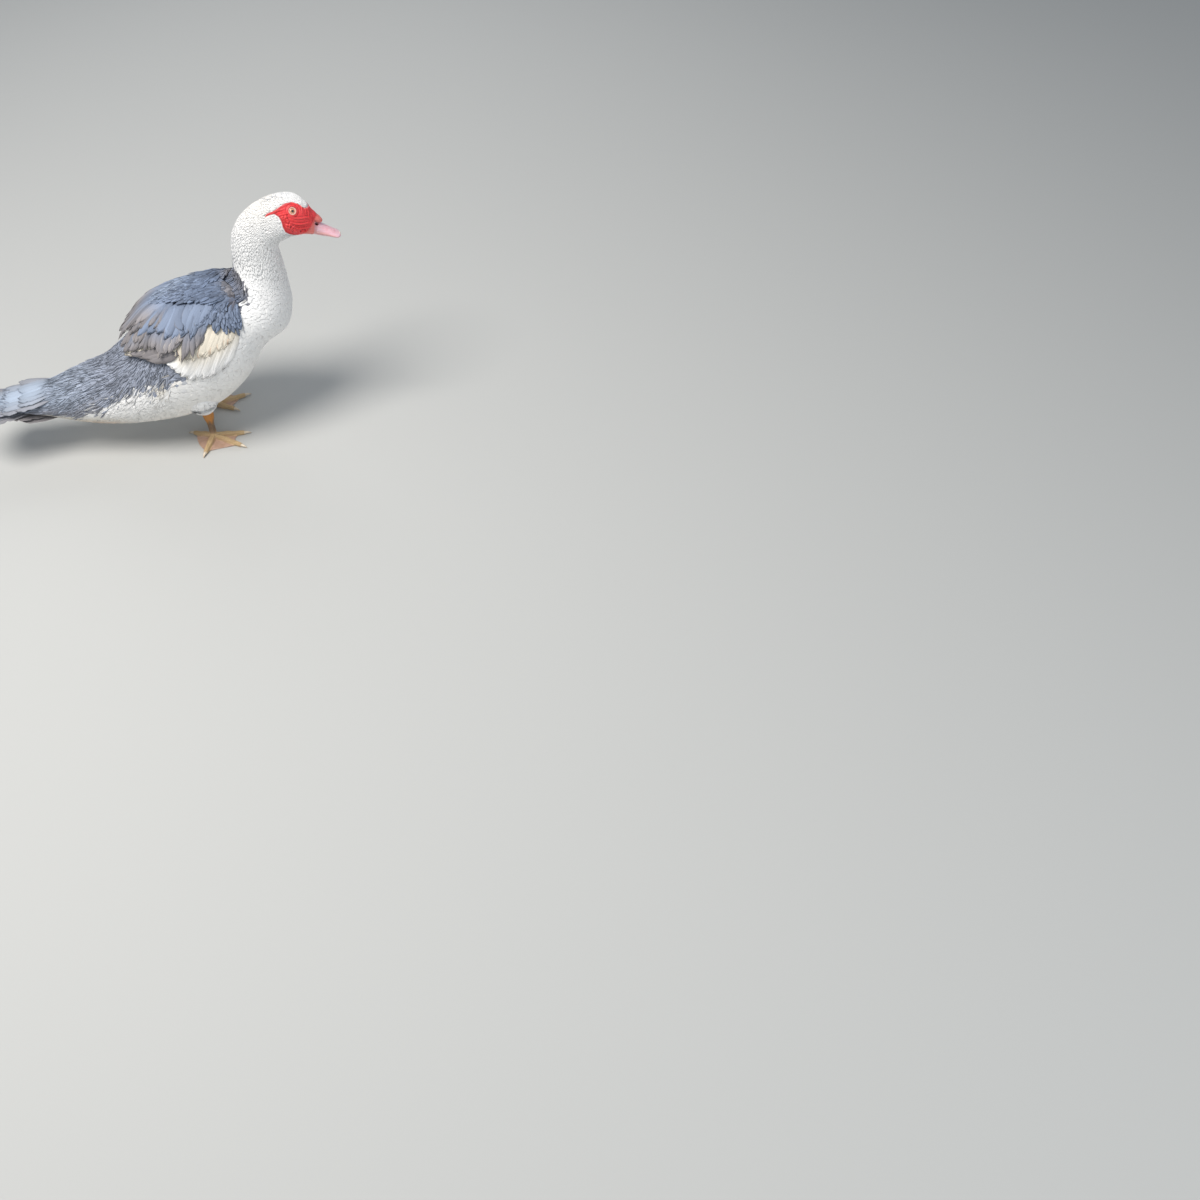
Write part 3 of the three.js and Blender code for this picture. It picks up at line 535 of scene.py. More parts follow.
bulbRows = [
    # line in station and angle, how many, size range in mm, spread across the line
    {"line": [(16.1, 1.22), (16.2, 1.5), (16.35, 1.78), (16.7, 2.02), (17.3, 2.16), (18.2, 2.12)],
     "count": 70, "size": (1.1, 2.4), "spread": 0.1},
    {"line": [(15.9, 0.8), (16.3, 0.56), (16.8, 0.45), (17.3, 0.4), (17.7, 0.45)], "count": 44,
     "size": (0.8, 1.5), "spread": 0.06},
    {"line": [(16.4, 1.35), (16.6, 1.75), (17.2, 1.98), (18.3, 1.95)], "count": 44, "size": (0.9, 1.8),
     "spread": 0.12},
    {"line": [(18.3, 0.9), (18.55, 1.3), (18.6, 1.8)], "count": 16, "size": (0.6, 1.3), "spread": 0.12},
]


def alongLine(line, t):
    return throughRows(np.array(line, float), np.asarray(t) * (len(line) - 1))


def eyeFrame(side):
    at = np.array([eye["station"]]), np.array([eye["angle"] * side])
    along, across = slopesOf(skinPoint, *at)
    normal = unit(np.cross(along, across))[0]
    point = skinPoint(*at)[0]
    return point, normal, unit(along)[0]


def faceRelief(points, stations, random):
    # how far the bare skin stands out: fine pebbling, folds and the ring round the eye
    relief = np.zeros(stations.shape)
    for side in sides.values():
        for fold in foldLines:
            row = alongLine(fold["line"], np.linspace(0, 1, foldSteps))
            spots = skinPoint(row[:, 0], row[:, 1] * side)
            gaps = np.linalg.norm(points[..., None, :] - spots, axis=-1)
            nearest = gaps.min(-1) / fold["breadth"]
            ends = np.sin(np.pi * np.clip(gaps.argmin(-1) / (foldSteps - 1), 0.08, 0.92)) ** 0.5
            beside = (nearest - foldGroove["away"]) ** 2 / foldGroove["breadth"]
            relief += fold["height"] * ends * (np.exp(-nearest**2) - foldGroove["depth"] * np.exp(-beside))
        away = np.linalg.norm(points - eyeFrame(side)[0], axis=-1)
        for ring in eyeRings:
            relief += ring["height"] * np.exp(-(((away - ring["radius"]) / ring["breadth"]) ** 2))
    seeds = random.integers(0, points[..., 0].size, pebble["tries"])
    spots = points.reshape(-1, 3)[seeds]
    spots = spots[outsideMask(spots) < -pebble["margin"]]
    sizes = random.uniform(*pebble["size"], len(spots))
    flat = points.reshape(-1, 3)
    pebbles = np.zeros(len(flat))
    for spot, size in zip(spots, sizes):
        near = ((flat - spot) ** 2).sum(-1) / size**2
        pebbles = np.maximum(pebbles, pebble["height"] * size * np.exp(-near))
    return relief + pebbles.reshape(relief.shape)


def ballObject(name, place, radii, tilt=0, around=32):
    bpy.ops.mesh.primitive_uv_sphere_add(segments=around, ring_count=around // 2)
    item = bpy.context.object
    item.name = name
    turn = Matrix.Rotation(math.radians(tilt), 4, "Y")
    item.data.transform(Matrix.Translation(Vector(inFrame(place))) @ turn
                        @ Matrix.Diagonal(Vector((*[r * 0.001 for r in radii], 1))))
    return item


headMesh = {"from": 13.6, "rings": 210, "around": 220, "bareLift": 0.35, "voxel": 0.6, "soften": 6}
bodyMesh = {"to": 14.4, "rings": 136, "around": 96}


def turnGrid(first, last, rings, around):
    # rings along a surface and places round each of them
    return np.meshgrid(np.linspace(first, last, rings), np.arange(around) * 2 * np.pi / around, indexing="ij")


def headSkin():
    random = np.random.default_rng(21)
    stations, angles = turnGrid(headMesh["from"], headEnd, headMesh["rings"], headMesh["around"])
    bare = smooth(outsideMask(skinPoint(stations, angles)), 0.6, -0.8)
    points = skinPoint(stations, angles)
    relief = faceRelief(points, stations, random)
    height = blend(-coatSize("depth", stations), headMesh["bareLift"] + relief, bare)
    parts = [tubeObject("head loft", overSkin(stations, angles, height))]
    for ball in knobBalls:
        parts.append(ballObject("knob", ball["place"], ball["radii"], ball["tilt"]))
    for side in sides.values():
        point, normal, _ = eyeFrame(side)
        for turn, thick in [(0, eye["lid"]), (1, eye["lid"] * 0.8)]:
            bpy.ops.mesh.primitive_torus_add(major_radius=(eye["opening"] + 0.75 + 1.5 * turn) * 0.001,
                                             minor_radius=thick * 0.001, major_segments=48, minor_segments=14)
            ring = bpy.context.object
            place = Matrix.Translation(Vector(inFrame(point + normal * (0.55 - 0.75 * turn))))
            ring.data.transform(place @ Vector(normal).to_track_quat("Z", "Y").to_matrix().to_4x4())
            parts.append(ring)
        for row in bulbRows:
            for _ in range(row["count"]):
                spot = alongLine(row["line"], random.random())
                spot = spot + random.normal(0, row["spread"], 2) * (0.8, 0.7)
                place = skinPoint(spot[:1], spot[1:] * side)[0]
                if outsideMask(place) > -0.5:
                    continue
                size = blend(*row["size"], random.random() ** 1.6)
                radii = size * random.uniform(0.8, 1.25, 3)
                parts.append(ballObject("bulb", place + (0, side * 0.2, 0), radii, 90 * random.random(), 12))
    return remeshed(joinObjects(parts, "head skin"), headMesh["voxel"], headMesh["soften"])


def bodySkin():
    stations, angles = turnGrid(skinStart, bodyMesh["to"], bodyMesh["rings"], bodyMesh["around"])
    body = tubeObject("body skin", overSkin(stations, angles, -coatSize("depth", stations)))
    thighs = []
    for side in sides.values():
        thighs.append(tubeObject("thigh skin", thighSurface(side)(*turnGrid(0, 1, 40, 48))))
    return joinObjects([body, *thighs], "body skin")


# Legs: the named places of each foot, as in the solids
legs = {
    "right": {"ball": (-2, -46), "hock": (-1.5, -46.5, 55), "toes": [(-5, 51), (-41, 58), (-110, 46)],
              "hind": (152, 36), "flap": True},
    "left": {"ball": (4, 45), "hock": (0, 45.5, 56), "toes": [(-35, 39), (15, 54), (76, 50)],
             "hind": (-170, 22), "flap": False},
}
thigh = {"hip": (-6, 54, 122), "bulge": 4, "knee": 32, "end": 12, "over": 0.5, "depth": 1.0}


def tubeFrame(ahead):
    level = np.stack([-ahead[..., 1], ahead[..., 0], 0 * ahead[..., 0]], -1)
    flat = (level**2).sum(-1, keepdims=True) > 0.04
    across = np.where(flat, unit(level), np.array([0.0, 1.0, 0.0]))
    return across, unit(np.cross(ahead, across))


def thighSurface(side, depth=None):
    depth = thigh["depth"] if depth is None else depth
    leg = legs["right" if side < 0 else "left"]
    hip = np.array(thigh["hip"]) * (1, side, 1)
    end = np.array(leg["hock"], float) + (0, 0, thigh["over"])

    def spine(t):
        p = hip + (end - hip) * t[..., None]
        p[..., 1] += side * thigh["bulge"] * np.sin(np.pi * t)
        return p

    def surface(t, angle):
        t = np.clip(t, 0, 1)
        ahead = unit(spine(np.minimum(t + 0.01, 1)) - spine(np.maximum(t - 0.01, 0)))
        across, up = tubeFrame(ahead)
        radius = blend(thigh["knee"], thigh["end"], t**3) * np.sin(np.pi * (0.12 + 0.7 * t)) ** 0.6
        radius = (radius - depth * smooth(t, 1.0, 0.8))[..., None]
        return spine(t) + radius * (across * np.cos(angle)[..., None] - up * np.sin(angle)[..., None])

    return surface


def makeSkin():
    head = headSkin()
    item = joinObjects([head, bodySkin()], "skin")
    points = pointsOf(item)
    random = np.random.default_rng(3)
    bare = smooth(outsideMask(points), 0.9, -0.5) * (points[:, 0] > 150) * (points[:, 2] > 300)
    # nearest place on the skin's own grid gives each point its marking
    stations, angles = np.meshgrid(np.linspace(skinStart, headEnd, 280), np.linspace(-np.pi, np.pi, 60),
                                   indexing="ij")
    spots = skinPoint(stations, angles).reshape(-1, 3)
    tree = KDTree(len(spots))
    for index, spot in enumerate(spots):
        tree.insert(spot, index)
    tree.balance()
    near = np.array([tree.find(p)[1] for p in points])
    tint = markings(stations.reshape(-1)[near], angles.reshape(-1)[near], random)
    setAttribute(item.data, "plumage", tint)
    setAttribute(item.data, "bare", bare)
    # hollowness drives painted shade in the face's creases and a painted highlight on its ridges
    setAttribute(item.data, "creaseShadeRidgeLight", np.clip(hollowness(item) / 0.12, -1, 1))
    setAttribute(item.data, "rim", smooth(outsideMask(points), -4.5, -1.5) * smooth(points[:, 0], 206, 198))
    setAttribute(item.data, "front", smooth(points[:, 0] - 0.95 * (points[:, 2] - 345), 221, 228)
                 * smooth(points[:, 2], 362, 350))
    lid, line = np.zeros(len(points)), np.zeros(len(points))
    for side in sides.values():
        middle = eyeFrame(side)[0]
        away = np.linalg.norm(points - middle, axis=-1)
        above = smooth((points - middle)[:, 2], 0.0, 3.0)
        lid = np.maximum(lid, smooth(away, 6.3, 5.7))
        # painted shade: a dark line round the upper half of the eye, just outside the lid, under the brow
        line = np.maximum(line, np.exp(-(((away - 6.6) / 0.5) ** 2)) * above)
    setAttribute(item.data, "lid", lid)
    setAttribute(item.data, "browShadeLine", line)

    paint = Paint("red face skin")
    fine = paint.noise(900, 3)
    broad = paint.noise(70, 4)
    pores = paint.cells(1500)
    red = paint.mix(paint.ramp(broad, 0.35, 0.68), (0.82, 0.022, 0.03), (0.93, 0.06, 0.07))
    red = paint.mix(paint.ramp(fine, 0.45, 0.75, 0, 0.3), red, (0.9, 0.16, 0.13))
    # painted shade: darker red in the creases; painted highlight: lighter orange-red on the ridges
    red = paint.mix(paint.ramp(paint.attribute("creaseShadeRidgeLight"), 0.15, 0.9, 0, 0.85), red, (0.25, 0.006, 0.01))
    red = paint.mix(paint.ramp(paint.attribute("creaseShadeRidgeLight"), -0.2, -1.0, 0, 0.3), red, (0.95, 0.2, 0.17))
    red = paint.mix(paint.math("MULTIPLY", paint.attribute("rim"), 0.6), red, (0.42, 0.008, 0.012))
    red = paint.mix(paint.math("MULTIPLY", paint.attribute("front"), 0.7), red, (0.88, 0.30, 0.25))
    lidSkin = paint.mix(paint.ramp(fine, 0.35, 0.7), (0.80, 0.40, 0.32), (0.86, 0.56, 0.46))
    red = paint.mix(paint.attribute("lid"), red, lidSkin)
    # painted shade: the dark line over the upper lid
    red = paint.mix(paint.math("MULTIPLY", paint.attribute("browShadeLine"), 0.85), red, (0.10, 0.01, 0.01))
    whole = paint.mix(paint.attribute("bare"), paint.attribute("plumage", True), red)
    height = paint.math("ADD", fine, paint.math("MULTIPLY", pores, 1.4))
    paint.finish(Base_Color=whole, Roughness=paint.ramp(fine, 0.3, 0.7, 0.36, 0.52),
                 Normal=paint.bump(height, 0.35, 0.6))
    paint.shader.inputs["Subsurface Weight"].default_value = 0.12
    paint.shader.inputs["Subsurface Radius"].default_value = (0.006, 0.002, 0.001)
    paint.shader.inputs["Subsurface Scale"].default_value = 0.35
    item.data.materials.clear()
    item.data.materials.append(paint.material)
    item.data.polygons.foreach_set("use_smooth", np.ones(len(item.data.polygons), bool))
    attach(item, "root")
    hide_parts("torso", "neck", "head", "face", "thigh_right", "thigh_left")
    print("skin:", len(item.data.polygons), "faces")


makeSkin()


# Feathers: closed leaves laid on a surface, all of one piece in one mesh
broadLeaf = {
    # rings from root to tip as (place, share of the width), and a ring's own points as (across, up)
    "rings": [(0.0, 0.22), (0.2, 0.7), (0.5, 1.0), (0.75, 0.92), (0.92, 0.6), (1.0, 0.2)],
    "around": [(-1, 0), (-0.45, 0.75), (0, 1), (0.45, 0.75), (1, 0), (0, -0.35)],
}
narrowLeaf = {
    "rings": [(0.0, 0.35), (0.35, 1.0), (0.75, 0.75), (1.0, 0.08)],
    "around": [(-1, 0), (0, 1), (1, 0), (0, -0.45)],
}
leafKinds = {
    # camber and thick are shares of the width, slope and bow of the length, roll and turn in radians
    "smooth": {**broadLeaf, "camber": 0.025, "thick": 0.015, "slope": 0.016, "bow": 0.02, "roll": 0.01,
               "turn": 0.05, "rootTone": 0.97},
    "contour": {**broadLeaf, "camber": 0.1, "thick": 0.03, "slope": 0.05, "bow": 0.05, "roll": 0.06,
                "turn": 0.12, "rootTone": 0.82},
    "wisp": {**narrowLeaf, "camber": 0.1, "thick": 0.1, "slope": 0.04, "bow": 0.08, "roll": 0.1, "turn": 0.16,
             "rootTone": 0.8},
    "tuft": {**narrowLeaf, "camber": 0.03, "thick": 0.03, "slope": 0.02, "bow": 0.03, "roll": 0.01,
             "turn": 0.06, "rootTone": 0.96},
    "scale": {**broadLeaf, "camber": 0.1, "thick": 0.075, "slope": 0.0, "bow": 0.0, "roll": 0.0, "turn": 0.03,
              "rootTone": 1.0},
}
patchSize = 0.003  # a feather's patch on the OFBake map
patchFill = 0.95


def layLeaves(surface, unwrap, roots, lie, sizes, rise, tint, kind, random, limits=(-np.inf, np.inf),
              facing=1):
    # facing is -1 where the surface's own normal points into the body
    u, v = roots
    length, width = sizes
    n = len(u)
    leaf = leafKinds[kind]
    rings = np.array(leaf["rings"])
    around = np.array(leaf["around"], float)
    t, share = rings[:, 0][None, :, None], rings[:, 1][None, :, None]
    x, y = around[:, 0][None, None, :], around[:, 1][None, None, :]
    along, across = slopesOf(surface, u, v, limits=limits)
    normal = unit(np.cross(along, across)) * facing
    ahead = -unit(along)
    beside = np.cross(normal, ahead)
    turn = (lie + random.normal(0, leaf["turn"], n))[:, None]
    ahead, beside = ahead * np.cos(turn) + beside * np.sin(turn), beside * np.cos(turn) - ahead * np.sin(turn)
    # steps of the surface's own two values for a step along and beside the feather
    aa, ab, bb = (along * along).sum(-1), (along * across).sum(-1), (across * across).sum(-1)
    det = aa * bb - ab * ab

    def steps(way):
        wa, wb = (way * along).sum(-1), (way * across).sum(-1)
        return (wa * bb - wb * ab) / det, (wb * aa - wa * ab) / det

    (ua, va), (ub, vb) = steps(ahead), steps(beside)
    forward = length[:, None, None] * t
    bend = random.normal(0, leaf["bow"], n)[:, None, None] * length[:, None, None] * t**2
    sideways = 0.5 * width[:, None, None] * share * x + bend
    pu = u[:, None, None] + ua[:, None, None] * forward + ub[:, None, None] * sideways
    pv = v[:, None, None] + va[:, None, None] * forward + vb[:, None, None] * sideways
    roll = random.normal(0, leaf["roll"], n)[:, None, None]
    # a feather comes up steeply from its root and then lies almost flat on the next ones
    slope = leaf["slope"] * length[:, None, None]
    low, high = rise[0][:, None, None], rise[1][:, None, None]
    height = blend(low, high - slope, smooth(t, 0, 0.42)) + slope * np.clip((t - 0.3) / 0.7, 0, 1)
    camber = leaf["camber"] * width[:, None, None] * (share * x) ** 2 * smooth(t, 0, 0.5)
    thick = leaf["thick"] * width[:, None, None] * y * share**0.5
    height = height + thick + roll * sideways - camber
    pu = np.clip(pu, *limits)
    du, dv = slopesOf(surface, pu, pv, limits=limits)
    points = surface(pu, pv) + unit(np.cross(du, dv)) * facing * height[..., None]
    r, k = points.shape[1:3]
    base = np.arange(n)[:, None, None] * (r * k)
    i, j = np.meshgrid(np.arange(r - 1), np.arange(k), indexing="ij")
    jn = (j + 1) % k
    tube = np.stack([i * k + j, i * k + jn, (i + 1) * k + jn, (i + 1) * k + j], -1).reshape(1, -1, 4)
    caps = np.array([[3, 2, 1, 0]]) if k == 4 else np.array([[3, 2, 1, 0], [5, 4, 3, 0]])
    ends = np.concatenate([caps, caps[:, ::-1] + (r - 1) * k])[None]
    quads = (np.concatenate([tube, ends], 1) + base).reshape(-1, 4)
    patch = np.stack(np.broadcast_arrays(0.5 * share * x, t - 0.5 + 0 * x), -1)
    bakeMap = unwrap(u, v)[:, None, None, :] + patchSize * patchFill * patch
    ownPlace = np.stack([np.zeros(n), 3.0 * np.arange(n) % 61], -1)[:, None, None, :]
    barbs = np.broadcast_to(patch + 0.5, (n, r, k, 2)) + ownPlace
    fade = blend(leaf["rootTone"], 1.0, smooth(t, 0.1, 0.9)) * blend(1.0, 0.97, (x * share) ** 2)
    shades = np.clip(tint, 0, 1)[:, None, None, :] * fade[..., None]
    return {"points": points.reshape(-1, 3), "quads": quads, "bake": bakeMap.reshape(-1, 2),
            "barbs": barbs.reshape(-1, 2), "tint": np.broadcast_to(shades, (n, r, k, 3)).reshape(-1, 3)}


def gathered(batches):
    made, offset = {}, 0
    quads = []
    for batch in batches:
        quads.append(batch["quads"] + offset)
        offset += len(batch["points"])
    for key in ["points", "bake", "barbs", "tint"]:
        made[key] = np.vstack([batch[key] for batch in batches])
    made["quads"] = np.vstack(quads)
    return made


def featherPiece(name, batches, paint, replaced=()):
    made = gathered(batches)
    item = meshObject(name, made["points"], made["quads"], {"plumage": made["tint"]},
                      {"OFBake": made["bake"], "barbs": made["barbs"]})
    item.data.materials.append(paint)
    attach(item, "root")
    if replaced:
        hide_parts(*replaced)
    print(name + ":", 2 * len(made["quads"]), "triangles")
    return item


def plumagePaint(name, spec):
    paint = Paint(name)
    where = paint.node("UVMap", uv_map="barbs").outputs[0]
    split = paint.node("SeparateXYZ")
    paint.put(split.inputs[0], where)
    # barbs leave the shaft at a slant, so the stripes follow y minus the distance from the shaft
    offShaft = paint.math("ABSOLUTE", paint.math("SUBTRACT", split.outputs[0], 0.5))
    slant = paint.math("SUBTRACT", split.outputs[1], paint.math("MULTIPLY", offShaft, 0.55))
    wave = paint.math("SINE", paint.math("MULTIPLY", slant, spec["barbs"]))
    ragged = paint.noise(420, 3)
    broad = paint.noise(28, 3)
    shaft = paint.ramp(offShaft, 0.035, 0.0)
    base = paint.attribute("plumage", True)
    base = paint.mix(paint.ramp(ragged, 0.4, 0.75, 0, spec["speckle"]), base, (0.5, 0.5, 0.5), "MULTIPLY")
    base = paint.mix(paint.ramp(broad, 0.4, 0.7, 0, spec["cloud"]), base, (0.62, 0.6, 0.6), "MULTIPLY")
    stripes = paint.math("MULTIPLY", paint.ramp(wave, 0.2, 1.0), spec["stripe"])
    base = paint.mix(stripes, base, (0.5, 0.48, 0.5), "MULTIPLY")
    base = paint.mix(paint.math("MULTIPLY", shaft, 2 * spec["stripe"]), base, (0.55, 0.52, 0.5), "MULTIPLY")
    height = paint.math("ADD", paint.math("MULTIPLY", wave, 0.5), paint.math("MULTIPLY", shaft, 1.5))
    height = paint.math("ADD", height, paint.math("MULTIPLY", ragged, 1.2))
    paint.finish(Base_Color=base, Normal=paint.bump(height, spec["relief"], 0.7))
    paint.shader.inputs["Roughness"].default_value = spec["roughness"]
    paint.shader.inputs["Sheen Weight"].default_value = spec["sheen"]
    paint.shader.inputs["Sheen Roughness"].default_value = 0.45
    paint.shader.inputs["Specular IOR Level"].default_value = 0.3
    return paint.material


plumages = {
    # barbs: how close the stripes lie; speckle, cloud and stripe: how strongly they darken; relief in mm
    "white plumage": {"barbs": 60, "speckle": 0.05, "cloud": 0.06, "stripe": 0.04, "relief": 0.05,
                      "roughness": 0.8, "sheen": 0.12},
    "grey plumage": {"barbs": 60, "speckle": 0.16, "cloud": 0.14, "stripe": 0.12, "relief": 0.12,
                     "roughness": 0.72, "sheen": 0.1},
    "flight feathers": {"barbs": 260, "speckle": 0.1, "cloud": 0.12, "stripe": 0.1, "relief": 0.09,
                        "roughness": 0.6, "sheen": 0.08},
}
whitePlumage, greyPlumage, flightPlumage = (plumagePaint(name, spec) for name, spec in plumages.items())


def bodyUnwrap(station, angle):
    along = (station - skinStart) / (headEnd - skinStart)
    return np.stack([0.02 + 0.96 * along, 0.02 + 0.96 * ((angle / (2 * np.pi)) % 1.0)], -1)


def coatRoots(first, last, random, thin=1.0):
    # rings of roots along the body; where rings crowd together on the inside of a bend some are left out
    found = []
    station, ring = first, 0
    ringAngles = np.linspace(-np.pi, np.pi, 48, endpoint=False)
    while station > last:
        gap = coatSize("gap", station) * thin
        along, across = slopesOf(skinPoint, np.full(48, station), ringAngles, limits=coatLimits)
        paces = np.linalg.norm(along, axis=-1)
        girth = np.linalg.norm(across, axis=-1).mean() * 2 * np.pi
        step = gap / np.percentile(paces, 90)
        count = max(int(girth / (0.92 * gap)), 6)
        angles = (np.arange(count) + 0.5 * (ring % 2)) * 2 * np.pi / count - np.pi
        angles = angles + random.normal(0, 0.18 * 2 * np.pi / count, count)
        stations = station + random.normal(0, 0.25 * step, count)
        crowding = np.interp(angles, ringAngles, paces, period=2 * np.pi) / np.percentile(paces, 90)
        keep = random.random(count) < np.clip(crowding * 1.1, 0.35, 1)
        found.append(np.stack([stations[keep], angles[keep]], -1))
        station -= step
        ring += 1
    roots = np.vstack(found)
    return np.clip(roots[:, 0], skinStart + 0.02, headEnd - 0.02), roots[:, 1]


# layers of feathers: kind, how many for each root, length and width against the coat's own, lift in mm,
# unevenness of tone, and how far they turn downwards, in radians
frontLayers = [("smooth", 1, 1.0, 1.0, 0.0, 0.012, 0.0), ("tuft", 1, 0.9, 0.4, 0.0, 0.012, 0.0)]
headLayer = ("tuft", 1, 1.0, 1.0, 0.0, 0.02, 0.0)
coatPieces = {
    "coat_breast": {"grey": False, "stations": (8.2, np.inf), "layers": frontLayers},
    "coat_flank": {"grey": False, "stations": (5, 8.2), "layers": frontLayers},
    "coat_belly": {"grey": False, "stations": (-np.inf, 5), "layers": [
        ("smooth", 1, 1.1, 1.0, 0.0, 0.02, 0.25), ("wisp", 2, 1.3, 0.24, 0.4, 0.03, 0.4)]},
    "coat_back": {"grey": True, "stations": (5, np.inf), "layers": [
        ("contour", 1, 0.85, 0.9, 0.0, 0.16, 0.0), ("wisp", 1, 0.8, 0.3, 0.5, 0.22, 0.0)]},
    "coat_rump": {"grey": True, "stations": (-np.inf, 5), "layers": [
        ("contour", 1, 1.0, 1.0, 0.0, 0.08, 0.3), ("wisp", 3, 1.15, 0.27, 0.8, 0.3, 0.5)]},
}
coatJitter = {"station": 0.07, "angle": 0.045}


def coatBatch(stations, angles, random, layer):
    kind, many, longer, wider, lift, uneven, droop = layer
    stations, angles = np.tile(stations, many), np.tile(angles, many)
    n = len(stations)
    if many > 1:
        stations = stations + random.normal(0, coatJitter["station"], n)
        angles = angles + random.normal(0, coatJitter["angle"], n)
    stations = np.clip(stations, skinStart + 0.02, headEnd - 0.02)
    length = coatSize("length", stations) * longer * random.normal(1, 0.1, n).clip(0.7, 1.3)
    width = coatSize("width", stations) * wider * random.normal(1, 0.1, n).clip(0.7, 1.3)
    depth = coatSize("depth", stations)
    loose = 0.35 if uneven > 0.03 else 0.04
    rise = (-depth - 0.3, (lift - 0.1 + random.normal(0, loose, n)) * np.clip(depth, 0.3, 1))
    down = np.abs((angles + np.pi) % (2 * np.pi) - np.pi)
    lie = -np.sign(np.sin(angles)) * droop * smooth(down, 0.3, 1.0)
    lie = lie * smooth(down, np.pi, 2.2) * smooth(stations, -0.6, 1.0)
    tint = markings(stations, angles, random) * random.normal(1, uneven, n).clip(0.5, 1.4)[:, None]
    return layLeaves(skinPoint, bodyUnwrap, (stations, angles), lie, (length, width), rise, tint, kind,
                     random, limits=coatLimits)


thighCoat = {"span": (0.1, 0.9), "rows": 22, "around": 30, "length": 22, "width": 9}


def thighBatch(side, random):
    surface = thighSurface(side, 0.0)
    t, around = turnGrid(*thighCoat["span"], thighCoat["rows"], thighCoat["around"])
    t = (t + random.normal(0, 0.01, t.shape)).ravel()
    around = (around + random.normal(0, 0.08, around.shape)).ravel()
    n = len(t)
    size = blend(1.0, 0.5, smooth(t, 0.4, 1.0))
    tint = np.broadcast_to(tones["white"], (n, 3)) * random.normal(1, 0.012, n)[:, None]
    rise = (np.full(n, -thigh["depth"] - 0.3), random.normal(-0.3, 0.1, n))

    def unwrap(u, v):
        return np.stack([0.02 + 0.9 * u, 0.02 + 0.45 * ((v / (2 * np.pi)) % 1) + 0.25 * (side + 1)], -1)

    sizes = (thighCoat["length"] * size, thighCoat["width"] * size)
    return layLeaves(surface, unwrap, (t, around), np.full(n, np.pi), sizes, rise, tint, "smooth", random,
                     limits=(0, 1))


def makeCoat():
    random = np.random.default_rng(8)
    # head and neck: small tufts, left off the bare face
    stations, angles = coatRoots(18.9, 11.2, random)
    off = outsideMask(skinPoint(stations, angles))
    keep = ~((off < 0.4 + random.normal(0, 0.7, len(off)) * (stations < 17.6)) & (stations > 14.5))
    stations, angles = stations[keep], angles[keep]
    upper = stations > 14.2
    for name, part in [("coat_head", upper), ("coat_neck", ~upper)]:
        batch = coatBatch(stations[part], angles[part], random, headLayer)
        featherPiece(name, [batch], whitePlumage)
    # body: contour feathers with wisps over them
    stations, angles = coatRoots(11.4, skinStart + 0.06, random)
    grey = markings(stations, angles, np.random.default_rng(1))[:, 0] < 0.45
    for name, spec in coatPieces.items():
        low, high = spec["stations"]
        part = (grey == spec["grey"]) & (stations > low) & (stations <= high)
        batches = [coatBatch(stations[part], angles[part], random, layer) for layer in spec["layers"]]
        paint, slot = (greyPlumage, "grey_feather") if spec["grey"] else (whitePlumage, "white_feather")
        featherPiece(name, batches, paint)
    batches = [thighBatch(side, random) for side in sides.values()]
    featherPiece("coat_thighs", batches, whitePlumage)


makeCoat()


# Broad vanes with a shaft, ragged edges and a thickness, for the wings and tail
vane = {"rows": 15, "columns": 10, "thick": 0.45, "shaft": 0.4, "shaftWidth": 0.12, "camber": 0.08,
        "rowPack": 0.92}


def wallAround(rows, columns):
    # quads that join the border of a grid of points to the border of its underside
    size = rows * columns
    border = np.concatenate([np.arange(columns - 1), (np.arange(rows - 1) + 1) * columns - 1,
                             size - 1 - np.arange(columns - 1), (rows - 1 - np.arange(rows - 1)) * columns])
    following = np.roll(border, -1)
    return np.stack([border, border + size, following + size, following], -1)


def sheetQuads(rows, columns):
    i, j = np.meshgrid(np.arange(rows - 1), np.arange(columns - 1), indexing="ij")
    corners = [i * columns + j, i * columns + j + 1, (i + 1) * columns + j + 1, (i + 1) * columns + j]
    face = np.stack(corners, -1).reshape(-1, 4)
    return np.vstack([face, face[:, ::-1] + rows * columns, wallAround(rows, columns)])


